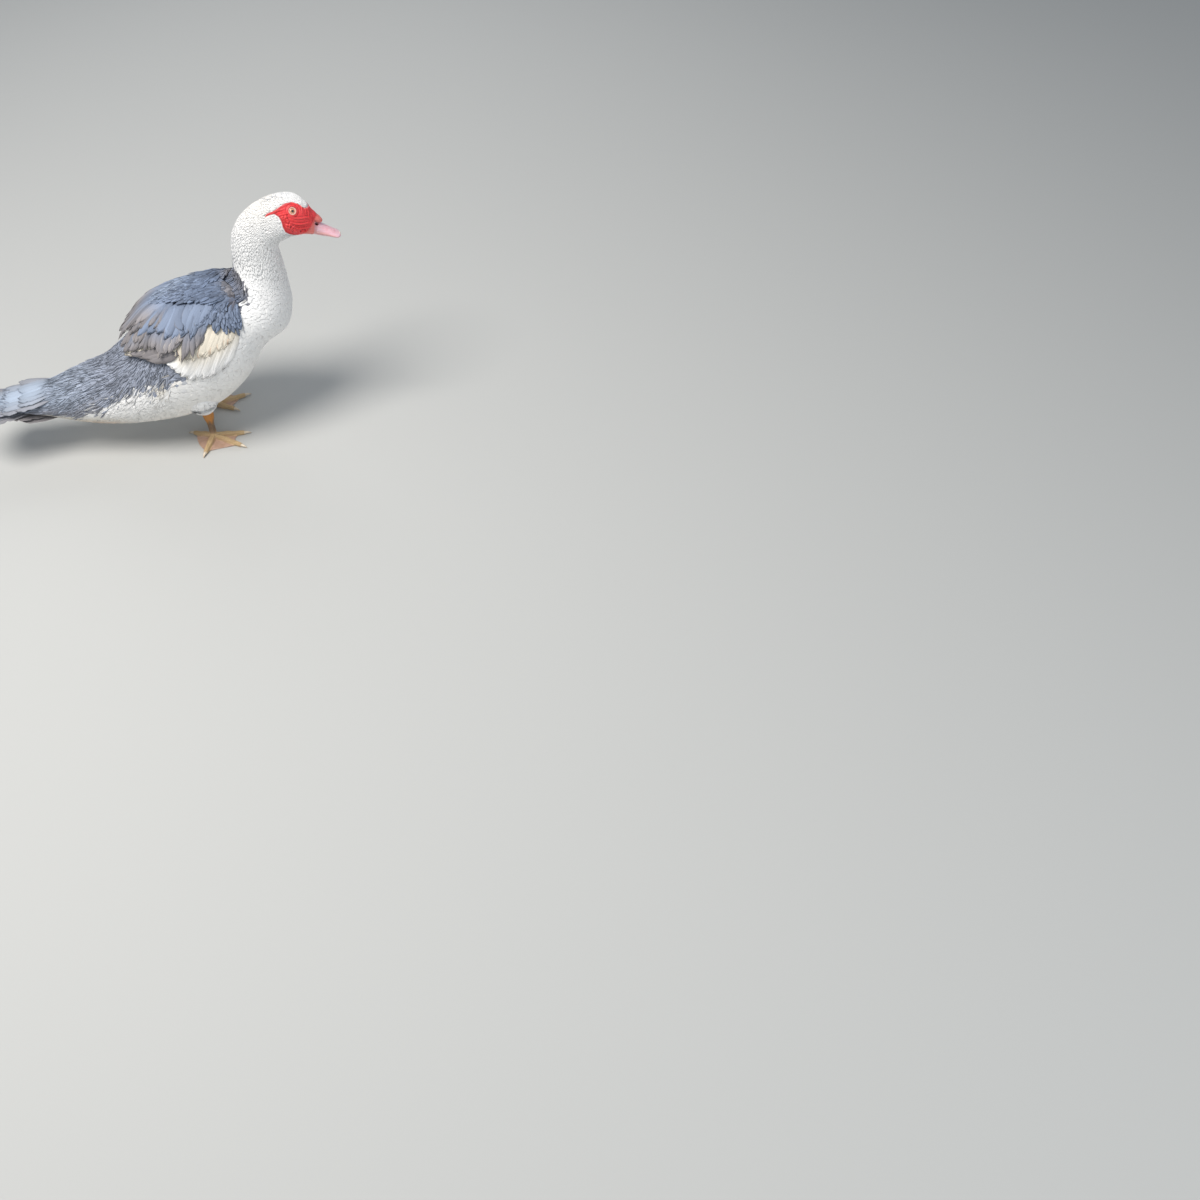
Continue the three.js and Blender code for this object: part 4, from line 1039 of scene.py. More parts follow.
def layVanes(place, unwrap, width, tints, random, ragged=1.0, pointed=0.3):
    # place(t, aside) gives points of the feathers' middle surface and its normals
    n, r, c = len(width), vane["rows"] + 1, vane["columns"] + 1
    t = np.linspace(0, 1, r)[None, :, None] ** vane["rowPack"]
    x = np.linspace(-1, 1, c)[None, None, :]
    outline = 0.34 + 0.66 * np.sin(np.pi * np.minimum(0.5, 0.85 * t))
    end = np.clip((t - 0.8) / 0.2, 0, 1)
    rounded = np.sqrt(np.clip(1 - 0.98 * end**2, 0, 1))
    outline = outline * (rounded * (1 - pointed) + pointed * (1 - end * 0.97))
    # barbs part here and there, which notches both edges and the tip
    edge = random.normal(0, 0.045, (n, r, 2)) * ragged
    splits = (random.random((n, r, 2)) < 0.1 * ragged) * random.uniform(0.12, 0.4, (n, r, 2))
    edge = 1 + (edge - splits) * smooth(t, 0.25, 0.6)
    aside = np.where(x < 0, edge[..., :1], edge[..., 1:]) * outline
    tipJitter = random.normal(0, 0.022, (n, 1, c)) * ragged * smooth(t, 0.75, 1.0)
    along = np.clip(t + tipJitter * 1.2 * (1 - 0.4 * x**2), 0, 1.04)
    shift = 0.5 * width[:, None, None] * aside * x
    points, normals = place(along, shift)
    ridge = vane["shaft"] * np.exp(-((x / vane["shaftWidth"]) ** 2)) * blend(1.0, 0.3, t)
    camber = vane["camber"] * width[:, None, None] * (aside * x) ** 2
    ripple = random.normal(0, 0.16, (n, 1, c)) * smooth(t, 0.3, 0.9) * ragged
    top = points + normals * (ridge - camber + ripple)[..., None]
    under = top - normals * (vane["thick"] * blend(1.0, 0.5, t))[..., None]
    quads = sheetQuads(r, c)
    quads = (quads[None] + (np.arange(n) * 2 * r * c)[:, None, None]).reshape(-1, 4)
    points = np.concatenate([top.reshape(n, -1, 3), under.reshape(n, -1, 3)], 1)
    grid = np.broadcast_to
    patch = np.stack([grid(x * 0.5, (n, r, c)), grid(t - 0.5, (n, r, c))], -1)
    bake = unwrap[:, None, None, :] + patchSize * patchFill * patch
    barbs = patch + 0.5 + np.stack([np.zeros(n), 3.0 * np.arange(n) % 61], -1)[:, None, None, :]
    tone = grid(tints(t, x), (n, r, c, 3))

    def twice(values):
        return np.concatenate([values.reshape(n, -1, values.shape[-1])] * 2, 1).reshape(-1, values.shape[-1])

    return {"points": points.reshape(-1, 3), "quads": quads, "bake": twice(bake), "barbs": twice(barbs),
            "tint": np.clip(twice(tone), 0, 1)}


# Wings. rows: station and angle of the upper edge, the same of the lower edge, height of the middle
wingSpan = np.array([
    (8.25, 0.6, 8.0, 1.04, 1.2),
    (7.5, 0.24, 7.3, 1.34, 2.6),
    (6.4, 0.06, 6.2, 1.43, 4.6),
    (5.5, 0.03, 5.4, 1.36, 11),
    (4.7, 0.03, 4.7, 0.96, 14.5),
    (3.8, 0.05, 3.9, 0.68, 12),
    (3.1, 0.16, 3.1, 0.46, 7),
    (2.6, 0.26, 2.6, 0.44, 2),
])
wingSprays = [
    # first and last feather of each spray, each as root, middle and tip along and down the wing, from the
    # lowest spray to the uppermost; tones at the root, at the tip and along the hind edge
    {"name": "flank", "count": 20, "width": 16, "lift": (-0.4, 0.4), "share": 0.5,
     "tones": ("cream", "white", "white"),
     "first": [(0.08, 0.72), (0.13, 0.95), (0.22, 1.14)], "last": [(0.44, 0.6), (0.48, 0.8), (0.54, 0.98)]},
    {"name": "flank over", "count": 18, "width": 13, "lift": (0.4, 1.2), "share": 0.7,
     "tones": ("cream", "cream", "rust"),
     "first": [(0.05, 0.6), (0.1, 0.78), (0.16, 0.93)], "last": [(0.38, 0.42), (0.42, 0.6), (0.47, 0.8)]},
    {"name": "primaries", "count": 6, "width": 15, "lift": (0.5, 2.6), "share": 0.75,
     "tones": ("taupe", "taupe", "cream"),
     "first": [(0.4, 0.62), (0.5, 0.86), (0.6, 1.03)], "last": [(0.47, 0.58), (0.6, 0.74), (0.77, 0.88)]},
    {"name": "pale primary", "count": 1, "width": 12, "lift": (3.0, 3.0), "share": 0.8,
     "tones": ("cream", "cream", "cream"), "first": [(0.48, 0.68), (0.63, 0.77), (0.81, 0.855)],
     "last": [(0.48, 0.68), (0.63, 0.77), (0.81, 0.855)]},
    {"name": "front secondaries", "count": 9, "width": 10.5, "lift": (2.2, 3.4), "share": 0.95,
     "tones": ("lavender", "taupe", "umber"),
     "first": [(0.23, 0.36), (0.28, 0.56), (0.315, 0.71)],
     "last": [(0.31, 0.3), (0.345, 0.52), (0.405, 0.82)]},
    {"name": "mid secondaries", "count": 9, "width": 11, "lift": (2.8, 4.0), "share": 1.0,
     "tones": ("lavender", "taupe", "cream"),
     "first": [(0.32, 0.29), (0.355, 0.46), (0.385, 0.6)],
     "last": [(0.42, 0.26), (0.46, 0.52), (0.53, 0.88)]},
    {"name": "hind secondaries", "count": 12, "width": 10.5, "lift": (3.2, 4.6), "share": 1.0,
     "tones": ("lavender", "taupe", "umber"),
     "first": [(0.42, 0.22), (0.48, 0.5), (0.54, 0.82)], "last": [(0.57, 0.27), (0.67, 0.46), (0.81, 0.8)]},
    {"name": "inner secondaries", "count": 11, "width": 9.5, "lift": (4.4, 5.4), "share": 1.0,
     "tones": ("taupe", "taupe", "cream"),
     "first": [(0.45, 0.2), (0.52, 0.42), (0.6, 0.7)], "last": [(0.58, 0.2), (0.68, 0.32), (0.8, 0.5)]},
    {"name": "greater coverts", "count": 14, "width": 15, "lift": (4.6, 6.0), "share": 1.0,
     "tones": ("lavender", "lavender", "taupe"), "stagger": 0.035,
     "first": [(0.2, 0.2), (0.25, 0.4), (0.29, 0.58)], "last": [(0.43, 0.12), (0.49, 0.32), (0.56, 0.55)]},
    {"name": "hind coverts", "count": 13, "width": 9.5, "lift": (5.8, 6.6), "share": 1.0,
     "tones": ("lavender", "taupe", "umber"),
     "first": [(0.36, 0.08), (0.44, 0.26), (0.51, 0.46)], "last": [(0.5, 0.1), (0.58, 0.24), (0.69, 0.42)]},
    {"name": "tertials", "count": 13, "width": 15, "lift": (7.0, 8.2), "share": 1.0,
     "tones": ("lavender", "taupe", "umber"),
     "first": [(0.37, 0.05), (0.47, 0.18), (0.6, 0.33)], "last": [(0.35, -0.06), (0.56, -0.04), (0.8, 0.04)]},
]
wingTufts = [
    # patches of small feathers: region along and down the wing, rows both ways, length, width, lift and turn
    {"name": "shoulder", "along": (0.0, 0.3), "down": (0.2, 0.86), "rows": (24, 24), "length": 17,
     "width": 5.5, "lift": 3.4, "turn": -1.05,
     "until": [(0.0, 1.02), (0.07, 0.92), (0.16, 0.62), (0.25, 0.5), (0.3, 0.34)]},
    {"name": "mantle", "along": (0.0, 0.46), "down": (-0.12, 0.3), "rows": (38, 24), "length": 19,
     "width": 6.5, "lift": 7.6, "turn": -0.25,
     "until": [(0.0, 0.34), (0.22, 0.26), (0.38, 0.15), (0.46, 0.06)]},
]
wingBed = {"along": 0.84, "down": 0.84, "rows": 40, "columns": 24, "share": 0.85, "under": -3.5}
wingCrest = {"share": 0.45, "from": 0.2, "over": 0.6, "most": 0.92}


def onWing(along, down):
    t = np.clip(along, 0, 1)
    row = throughRows(wingSpan, t * (len(wingSpan) - 1))
    spot = row[..., 0:2] + (row[..., 2:4] - row[..., 0:2]) * down[..., None]
    hump = wingCrest["from"] + wingCrest["over"] * np.maximum(down, 0)
    crest = blend(wingCrest["share"], 1.0, np.sin(np.pi * np.minimum(wingCrest["most"], hump)))
    return spot[..., 0], spot[..., 1], row[..., 4] * crest


def wingSurface(side, share):
    def surface(along, down):
        station, angle, height = onWing(along, down)
        return overSkin(station, angle * side, share * height)
    return surface


def alongWing(side, root, middle, tip, share, lift, curl):
    # places of feathers that bend from root through middle to tip on the folded wing
    bare, raised = wingSurface(side, 0.0), wingSurface(side, share)
    e = 0.01

    def axis(t):
        a, b, c = (1 - t) * (1 - 2 * t), 4 * t * (1 - t), t * (2 * t - 1)
        return [root[:, k, None, None] * a + middle[:, k, None, None] * b + tip[:, k, None, None] * c
                for k in (0, 1)]

    def place(t, aside):
        u, v = axis(t)
        ahead = unit(bare(*axis(t + e)) - bare(*axis(t - e)))
        slopeU = (bare(u + e, v) - bare(u - e, v)) / (2 * e)
        slopeV = (bare(u, v + e) - bare(u, v - e)) / (2 * e)
        normal = unit(np.cross(slopeU, slopeV)) * -side
        normal = normal * np.sign((normal * (bare(u, v) - (0, 0, 140))).sum(-1, keepdims=True))
        beside = np.cross(normal, ahead)
        aa, ab, bb = (slopeU**2).sum(-1), (slopeU * slopeV).sum(-1), (slopeV**2).sum(-1)
        det = np.maximum(aa * bb - ab * ab, 1e-6)
        wa, wb = (beside * slopeU).sum(-1) * aside, (beside * slopeV).sum(-1) * aside
        pu, pv = u + (wa * bb - wb * ab) / det, v + (wb * aa - wa * ab) / det
        rise = blend(-2.0, lift[:, None, None], smooth(t, 0, 0.35))
        rise = np.maximum(rise - 0.07 * aside * -side, 0.3) + curl[:, None, None] * t**3
        return raised(pu, pv) + normal * rise[..., None], normal

    return place


def wingTone(along, down, side, random):
    shape = along.shape + (3,)
    made = np.broadcast_to(tones["lavender"], shape).copy()

    def lay(tone, share):
        made[:] = made + (tones[tone] - made) * np.asarray(share)[..., None]

    lay("slate", blend(0.9, 0.3, smooth(down, 0.25, 0.45)) * smooth(along, 0.42, 0.24))
    lay("taupe", 0.75 * smooth(along, 0.16, 0.04) * smooth(down, 0.3, 0.1))
    lay("umber", 0.7 * smooth(along, 0.06, 0.0) * smooth(abs(down - 0.16), 0.2, 0.08))
    lay("taupe", 0.6 * smooth(along, 0.45, 0.7))
    # painted light: the far, left wing is made paler, as its upper side catches the light
    if side > 0:
        lay("paleGrey", 0.4 * smooth(along, 0.2, 0.4))
    return made * random.normal(1, 0.09, along.shape).clip(0.75, 1.25)[..., None]


def wingMap(along, down):
    return np.stack([0.03 + 0.9 * np.clip(along, 0, 1.05), 0.05 + 0.8 * np.clip(down, -0.05, 1.1)], -1)


def wingSpray(spec, side, random):
    n = spec["count"]
    share = np.linspace(0, 1, n)[:, None] + (random.normal(0, 0.12 / n, (n, 1)) if n > 1 else 0)
    root, middle, tip = (blend(np.array(spec["first"][k]), np.array(spec["last"][k]), share)
                         for k in range(3))
    tip = tip + random.normal(0, spec.get("stagger", 0.014), (n, 2))
    middle = middle + random.normal(0, 0.006, (n, 2))
    lift = np.linspace(*spec["lift"], n) + random.normal(0, 0.2, n)
    place = alongWing(side, root, middle, tip, spec["share"], lift, random.normal(0.4, 0.5, n))
    # painted light: the far, left wing's tones are 12 % lighter, except cream
    near, far, rim = (tones[tone] * (1.0 if side < 0 else blend(1.0, 1.12, tone != "cream"))
                      for tone in spec["tones"])
    unevenTone = 0.04 if spec["tones"][0] == "cream" else 0.13
    uneven = random.normal(1, unevenTone, n).clip(0.7, 1.3)[:, None, None, None]
    flat = spec["name"].startswith(("flank", "pale"))

    def tints(t, x):
        shade = blend(1.0, 0.92 if flat else 0.55, smooth(x, 0.15, 0.95) * smooth(t, 0.2, 0.7))
        base = blend(near, far, smooth(t, 0.35, 0.95)[..., None])
        base = base * blend(0.75, 1.0, smooth(t, 0.1, 0.5))[..., None]
        edge = smooth(x, -0.72, -1.0) * smooth(t, 0.25, 0.8)
        base = blend(base * shade[..., None], rim, 0.75 * edge[..., None])
        return base * uneven

    width = spec["width"] * random.normal(1, 0.08, n).clip(0.8, 1.2)
    patches = wingMap(tip[:, 0], 0.5 * (root[:, 1] + tip[:, 1]))
    return layVanes(place, patches, width, tints, random, 1.0, 0.45)


def wingTuft(spec, side, random):
    u, v = np.meshgrid(np.linspace(*spec["along"], spec["rows"][0]),
                       np.linspace(*spec["down"], spec["rows"][1]), indexing="ij")
    u, v = (u + random.normal(0, 0.008, u.shape)).ravel(), (v + random.normal(0, 0.014, v.shape)).ravel()
    until = np.array(spec["until"])
    keep = (v < np.interp(u, until[:, 0], until[:, 1]) + random.normal(0, 0.02, len(u))) & (u > -0.005)
    u, v = np.clip(u[keep], 0.002, 1), v[keep]
    n = len(u)
    length = spec["length"] * random.normal(1, 0.15, n).clip(0.6, 1.4)
    width = spec["width"] * random.normal(1, 0.12, n).clip(0.7, 1.3)
    tint = wingTone(u, v, side, random) * random.normal(1, 0.2, n).clip(0.5, 1.5)[:, None]
    over = spec["lift"] * smooth(u, -0.02, 0.28)
    rise = (over - 1.8, over + 0.7 + random.normal(0, 0.4, n))
    return layLeaves(wingSurface(side, 1.0), wingMap, (u, v), np.pi - spec["turn"], (length, width), rise,
                     tint, "contour", random, limits=(0, 1), facing=-side)


def wingUnder(side, random):
    # the wing itself, under its feathers, painted at 0.6 of the feathers' tone as shade seen in the gaps
    # between them
    spec = wingBed
    along, down = np.meshgrid(np.linspace(0, spec["along"], spec["rows"]),
                              np.linspace(0, spec["down"], spec["columns"]), indexing="ij")
    margins = [down + 0.02, spec["down"] + 0.02 - down, along + 0.02, spec["along"] + 0.02 - along]
    edge = np.clip(5 * np.minimum.reduce(margins), 0, 1)
    station, angle, height = onWing(along, down)
    top = overSkin(station, angle * side, height * edge * spec["share"] - 1.0)
    under = overSkin(station, angle * side, np.full(height.shape, spec["under"]))
    # painted shade: the bed is 0.6 times the feathers' tone so that the gaps read dark
    tint = np.clip(wingTone(along, down, side, random) * 0.6, 0, 1).reshape(-1, 3)
    flat = wingMap(along, down).reshape(-1, 2)
    return {"points": np.vstack([top.reshape(-1, 3), under.reshape(-1, 3)]),
            "quads": sheetQuads(*along.shape), "bake": np.vstack([flat, flat]),
            "barbs": np.vstack([flat, flat]) * (1, 0.2), "tint": np.vstack([tint, tint])}


def makeWing(name, side):
    random = np.random.default_rng(50 + side)
    batches = [wingSpray(spec, side, random) for spec in wingSprays]
    batches += [wingTuft(spec, side, random) for spec in wingTufts]
    batches.append(wingUnder(side, random))
    item = featherPiece("wing_" + name + "_feathers", batches, flightPlumage,
                        ("wing_" + name,))
    faceOutward(item)


for name, side in sides.items():
    makeWing(name, side)


# Tail: a flattened root under coverts, and twelve quills in a fan
tail = {"quills": 12, "from": 40, "apart": 4.4, "over": 8, "length": 146, "outerLength": 112, "width": 25,
        "spread": 13, "tilt": 0.06}
tailCoverts = [
    # rows of coverts over (up) and under (down) the quills, from the tip of the root forward
    {"up": True, "from": 44, "length": 66, "count": 9, "over": 14, "under": 6, "reach": 25, "width": 19},
    {"up": True, "from": 26, "length": 62, "count": 9, "over": 20, "under": 11, "reach": 29, "width": 19},
    {"up": True, "from": 8, "length": 54, "count": 9, "over": 26, "under": 17, "reach": 32, "width": 18},
    {"up": False, "from": 40, "length": 62, "count": 9, "over": -8, "under": -2, "reach": 25, "width": 19},
    {"up": False, "from": 20, "length": 62, "count": 9, "over": -17, "under": -6, "reach": 28, "width": 19},
    {"up": False, "from": 2, "length": 52, "count": 9, "over": -24, "under": -14, "reach": 30, "width": 18},
]


def tailPlace(roots, turn, length, fall, tilt, curl):
    turn = np.radians(180 - turn)
    ahead = np.stack([np.cos(turn), np.sin(turn), 0 * turn], -1)[:, None, None, :]
    beside = np.stack([-np.sin(turn), np.cos(turn), 0 * turn], -1)[:, None, None, :]

    def place(t, aside):
        p = roots[:, None, None, :] + ahead * (length[:, None, None] * t)[..., None]
        p = p + beside * aside[..., None]
        drop = fall[:, None, None] * t + tilt[:, None, None] * aside - curl[:, None, None] * t**2
        p = p - np.stack([0 * drop, 0 * drop, drop], -1)
        return p, np.broadcast_to(np.array([0, 0, 1.0]), p.shape)

    return place


def tailMap(x, y):
    return np.stack([0.05 + 0.9 * np.clip((x + 390) / 190, 0, 1), 0.5 + 0.9 * y / 120], -1)


def tailSpray(roots, turn, length, fall, tilt, curl, width, middle, random, ragged):
    def tints(t, x):
        shade = blend(0.82, 1.0, smooth(t, 0.1, 0.5)) * blend(1.0, 0.84, smooth(t, 0.6, 1.0))
        shade = shade * blend(1.0, 0.86, x**2)
        return middle[:, None, None, :] * shade[..., None]

    place = tailPlace(roots, turn, length, fall, tilt, curl)
    widths = np.full(len(turn), float(width))
    return layVanes(place, tailMap(roots[:, 0], roots[:, 1]), widths, tints, random, ragged, 0.4)


def makeTail():
    random = np.random.default_rng(12)
    x, z = tailRootShape["x"], tailRootShape["z"]
    n = tail["quills"]
    out = np.arange(n) - (n - 1) / 2
    share = abs(out) / (n / 2)
    roots = np.stack([np.full(n, x - tail["from"]), out * tail["apart"], z + tail["over"] - 1.5 * abs(out)],
                     -1)
    length = blend(tail["length"], tail["outerLength"], share**2) - tail["from"] + random.normal(0, 1.0, n)
    turn = out * tail["spread"] / (n / 2) + random.normal(0, 0.4, n)
    # painted shade: the outer, lower quills blend to taupe for the shade on the tail's lower side
    middle = blend(tones["paleGrey"], tones["taupe"], share[:, None] * 0.9)
    middle = middle * random.normal(1, 0.06, n)[:, None]
    batches = [tailSpray(roots, turn, length, random.normal(0, 0.6, n), tail["tilt"] * np.sign(out),
                         random.normal(0, 1, n), tail["width"], middle, random, 0.7)]
    for row in tailCoverts:
        n = row["count"]
        out = np.arange(n) - (n - 1) / 2
        share = abs(out) * 2 / n
        way = 1 if row["up"] else -1
        roots = np.stack([x - row["from"] + random.normal(0, 2, n), out * 2 * row["reach"] / n,
                          z + row["over"] - way * 0.4 * share**2 * abs(row["over"])], -1)
        fall = row["over"] - row["under"] + random.normal(0, 0.8, n)
        fall = fall - way * 0.3 * share**2 * abs(row["under"])
        # painted shade: the coverts under the quills are taupe and umber, darker than the pale grey ones over
        # them, for the shade on the tail's underside
        base = tones["paleGrey"] if row["up"] else blend(tones["taupe"], tones["umber"], 0.25)
        middle = blend(base, tones["taupe"], 0.8 * share[:, None] ** 2) * random.normal(1, 0.07, n)[:, None]
        length = row["length"] * random.normal(1, 0.05, n)
        batches.append(tailSpray(roots, out * 2.6 + random.normal(0, 1.2, n), length, fall,
                                 0.05 * np.sign(out) * way,
                                 random.normal(0, 0.8, n), row["width"], middle, random, 0.9))
    featherPiece("tail_feathers", batches, flightPlumage, ("tail",))


makeTail()


# Bill
# rows: culmen x and z, mouth line x and z, underside x and z, half width
billSpan = np.array([
    (224, 350.5, 215.5, 335.2, 216, 330, 9),
    (236, 342, 228, 330.2, 228, 324.4, 11.4),
    (246, 335, 239, 325.6, 240, 320.2, 11.3),
    (253.5, 329.2, 249, 322.4, 251, 317.4, 12),
    (260, 323.9, 257, 319.4, 258, 315.6, 12.8),
    (265.3, 320, 263, 317.4, 263, 315, 11.8),
    (267.5, 317.4, 266.8, 316.4, 265.4, 314.9, 6.5),
])
nostril = {"place": (233.4, 8.2, 341.6), "long": 3.6, "high": 1.7, "tilt": 24, "deep": 2.0}
bill = {"nailFrom": 0.83, "nailHalf": 5.2, "nailRise": 0.45, "gap": 0.35, "lowerInset": 0.9, "arc": 64,
        "flat": 22, "rings": 130}


def makeBill():
    arc, flat = bill["arc"], bill["flat"]
    for upper, name in [(True, "bill_upper"), (False, "bill_lower")]:
        t = np.linspace(0, 1, bill["rings"])
        t = t + 0.012 * np.sin(2 * np.pi * t)
        row = throughRows(billSpan, t * (len(billSpan) - 1))
        outer = row[:, 0:2] if upper else row[:, 4:6]
        mouth = row[:, 2:4]
        out = unit(outer - mouth)
        base = mouth + out * (0 if upper else bill["gap"])
        rise = np.linalg.norm(outer - base, axis=-1)
        half = row[:, 6] - (0 if upper else bill["lowerInset"])
        angle = np.linspace(0, np.pi, arc)
        y = np.concatenate([np.cos(angle), np.linspace(-1, 1, flat + 2)[1:-1]])
        lift = np.concatenate([np.sin(angle) ** 0.8, np.zeros(flat)])
        forward = base[:, None, 0] + out[:, None, 0] * rise[:, None] * lift
        upward = base[:, None, 1] + out[:, None, 1] * rise[:, None] * lift
        rings = np.stack([forward, half[:, None] * y[None], upward], -1)
        sideways = y[None] * np.ones((len(t), 1))
        outward = unit(np.stack([out[:, None, 0] * lift, sideways, out[:, None, 1] * lift], -1))
        place = t[:, None] * np.ones(len(y))
        nail = smooth(place, bill["nailFrom"], bill["nailFrom"] + 0.03)
        nail = nail * smooth(abs(rings[..., 1]), bill["nailHalf"], bill["nailHalf"] - 1.4)
        nail = nail * (lift[None] > 0.05)
        nostrilShade = np.zeros(place.shape)
        if upper:
            rings = rings + outward * (nail * bill["nailRise"])[..., None]
            tilt = math.radians(nostril["tilt"])
            for side in sides.values():
                dx, dz = rings[..., 0] - nostril["place"][0], rings[..., 2] - nostril["place"][2]
                far = np.hypot((dx * math.cos(tilt) - dz * math.sin(tilt)) / nostril["long"],
                               (dx * math.sin(tilt) + dz * math.cos(tilt)) / nostril["high"])
                here = (rings[..., 1] * side > 2) * (lift[None] > 0)
                # the nostril's hollow, which the paint fills with near-black painted shade
                nostrilShade = np.maximum(nostrilShade, smooth(far, 1.0, 0.55) * here)
                rim = np.exp(-(((far - 1.3) / 0.25) ** 2)) * here
                dent = 0.35 * rim - nostril["deep"] * smooth(far, 1.0, 0.45) * here
                rings = rings + outward * dent[..., None]
            # faint grooves of the comb along the cutting edge
            comb = np.sin(place * 150) * smooth(abs(lift[None] - 0.2), 0.2, 0.0) * (place < 0.8)
            rings = rings + outward * (0.08 * comb * (lift[None] > 0.02))[..., None]
        edge = smooth(np.broadcast_to(lift[None], place.shape), 0.45, 0.05)
        item = tubeObject(name + "_horn", rings, {"nail": nail, "nostrilShade": nostrilShade, "along": place, "edge": edge})
        item.data.materials.append(billPaint)
        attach(item, "root")
        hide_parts(name)
    print("bill")


def makeBillPaint():
    paint = Paint("pink bill horn")
    long = paint.place((1, 3.5, 3.5))
    streak = paint.noise(90, 4, long)
    cloud = paint.noise(75, 2)
    fine = paint.noise(1200, 2)
    pink = paint.mix(paint.ramp(streak, 0.35, 0.7), (0.86, 0.42, 0.47), (0.90, 0.58, 0.64))
    pink = paint.mix(paint.ramp(cloud, 0.5, 0.75, 0, 0.6), pink, (0.86, 0.70, 0.80))
    pink = paint.mix(paint.ramp(paint.attribute("along"), 0.2, 0.0, 0, 0.75), pink, (0.80, 0.20, 0.17))
    pink = paint.mix(paint.math("MULTIPLY", paint.attribute("edge"), 0.45), pink, (0.85, 0.42, 0.30))
    nailHorn = paint.mix(paint.ramp(streak, 0.3, 0.7), (0.90, 0.78, 0.70), (0.80, 0.62, 0.56))
    pink = paint.mix(paint.attribute("nail"), pink, nailHorn)
    # painted shade: the nostril's hollow is painted near black
    pink = paint.mix(paint.attribute("nostrilShade"), pink, (0.03, 0.006, 0.006))
    height = paint.math("ADD", streak, paint.math("MULTIPLY", fine, 0.4))
    paint.finish(Base_Color=pink, Roughness=paint.ramp(streak, 0.2, 0.8, 0.3, 0.46),
                 Normal=paint.bump(height, 0.25, 0.5))
    paint.shader.inputs["Subsurface Weight"].default_value = 0.1
    paint.shader.inputs["Subsurface Radius"].default_value = (0.004, 0.002, 0.0015)
    paint.shader.inputs["Subsurface Scale"].default_value = 0.3
    paint.shader.inputs["Coat Weight"].default_value = 0.15
    paint.shader.inputs["Coat Roughness"].default_value = 0.25
    return paint.material


billPaint = makeBillPaint()
makeBill()


# Eyes: amber iris, black pupil, under a wet gloss
def makeEyes():
    paint = Paint("glossy eye")
    away = paint.attribute("away")
    around = paint.attribute("around")
    rays = paint.node("TexNoise", noise_dimensions="2D")
    joined = paint.node("CombineXYZ")
    paint.put(joined.inputs[0], paint.math("MULTIPLY", around, 22.0))
    paint.put(joined.inputs[1], paint.math("MULTIPLY", away, 0.35))
    paint.put(rays.inputs["Vector"], joined.outputs[0])
    rays.inputs["Scale"].default_value = 1.0
    rays.inputs["Detail"].default_value = 3
    iris = paint.mix(paint.ramp(rays.outputs["Fac"], 0.35, 0.65), (0.56, 0.25, 0.13), (0.80, 0.46, 0.27))
    iris = paint.mix(paint.ramp(away, 3.3, 4.4, 0, 0.85), iris, (0.16, 0.05, 0.03))
    iris = paint.mix(paint.ramp(away, 2.2, 1.9), iris, (0.20, 0.08, 0.04))
    iris = paint.mix(paint.ramp(away, 1.85, 1.7), iris, (0.004, 0.004, 0.005))
    paint.finish(Base_Color=iris)
    paint.shader.inputs["Roughness"].default_value = 0.12
    paint.shader.inputs["Coat Weight"].default_value = 1.0
    paint.shader.inputs["Coat Roughness"].default_value = 0.03
    for name, side in sides.items():
        point, normal, along = eyeFrame(side)
        centre = point - normal * eye["sunk"]
        across = np.cross(normal, along)
        polar, turn = np.meshgrid(np.linspace(0, np.pi, 60), np.arange(72) * 2 * np.pi / 72, indexing="ij")
        reach = eye["radius"] + 0.45 * np.exp(-((polar / 0.42) ** 2))
        local = np.stack([np.sin(polar) * np.cos(turn), np.sin(polar) * np.sin(turn), np.cos(polar)], -1)
        local = local * reach[..., None]
        rings = centre + local @ np.stack([along, across, normal])
        item = tubeObject("eye_" + name + "_ball", rings, {"away": np.hypot(local[..., 0], local[..., 1]),
                                                           "around": abs(turn - np.pi)})
        item.data.materials.append(paint.material)
        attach(item, "root")
        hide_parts("eye_" + name)
    print("eyes")


makeEyes()


# Shanks, webbed feet and claws
toe = {"root": 6, "tip": 3.8, "axis": 4.2, "drop": 0.6}
webbing = {"thick": 1.9, "reach": 0.86, "scallop": 0.2}
claws = {"length": 12.5, "sunk": 1, "arc": [3.1, 3.7, 2.7, 1.0], "radii": [2.7, 2.1, 1.3, 0.6, 0.14]}
shank = {"top": 8.0, "hock": 0.9, "middle": 5.7, "bottom": 6.4, "joint": 9}


def heading(degrees):
    return np.array([math.cos(math.radians(degrees)), math.sin(math.radians(degrees)), 0.0])


def tubeSurface(spine, radii):
    spine, radii = np.array(spine, float), np.array(radii, float)[:, None]

    def surface(t, angle):
        at = np.clip(t, 0, 1) * (len(spine) - 1)
        before, after = np.maximum(at - 0.05, 0), np.minimum(at + 0.05, len(spine) - 1)
        ahead = unit(throughRows(spine, after) - throughRows(spine, before))
        across, up = tubeFrame(ahead)
        radius = throughRows(radii, at)
        outward = across * np.cos(angle)[..., None] - up * np.sin(angle)[..., None]
        return throughRows(spine, at) + radius * outward

    return surface


def toeSurface(leg, spec):
    x, y = leg["ball"]
    steps = np.array([0, 0.12, 0.25, 0.36, 0.47, 0.6, 0.72, 0.86, 1.0])
    swell = np.array([1, 0.93, 0.9, 0.98, 1.06, 0.9, 0.86, 0.97, 0.86])
    axis = np.array([x, y, 0.0]) + heading(spec[0]) * (spec[1] * steps)[:, None]
    axis[:, 2] = blend(toe["axis"], toe["tip"] - toe["drop"], steps)
    return tubeSurface(axis, blend(toe["root"], toe["tip"], steps) * swell)


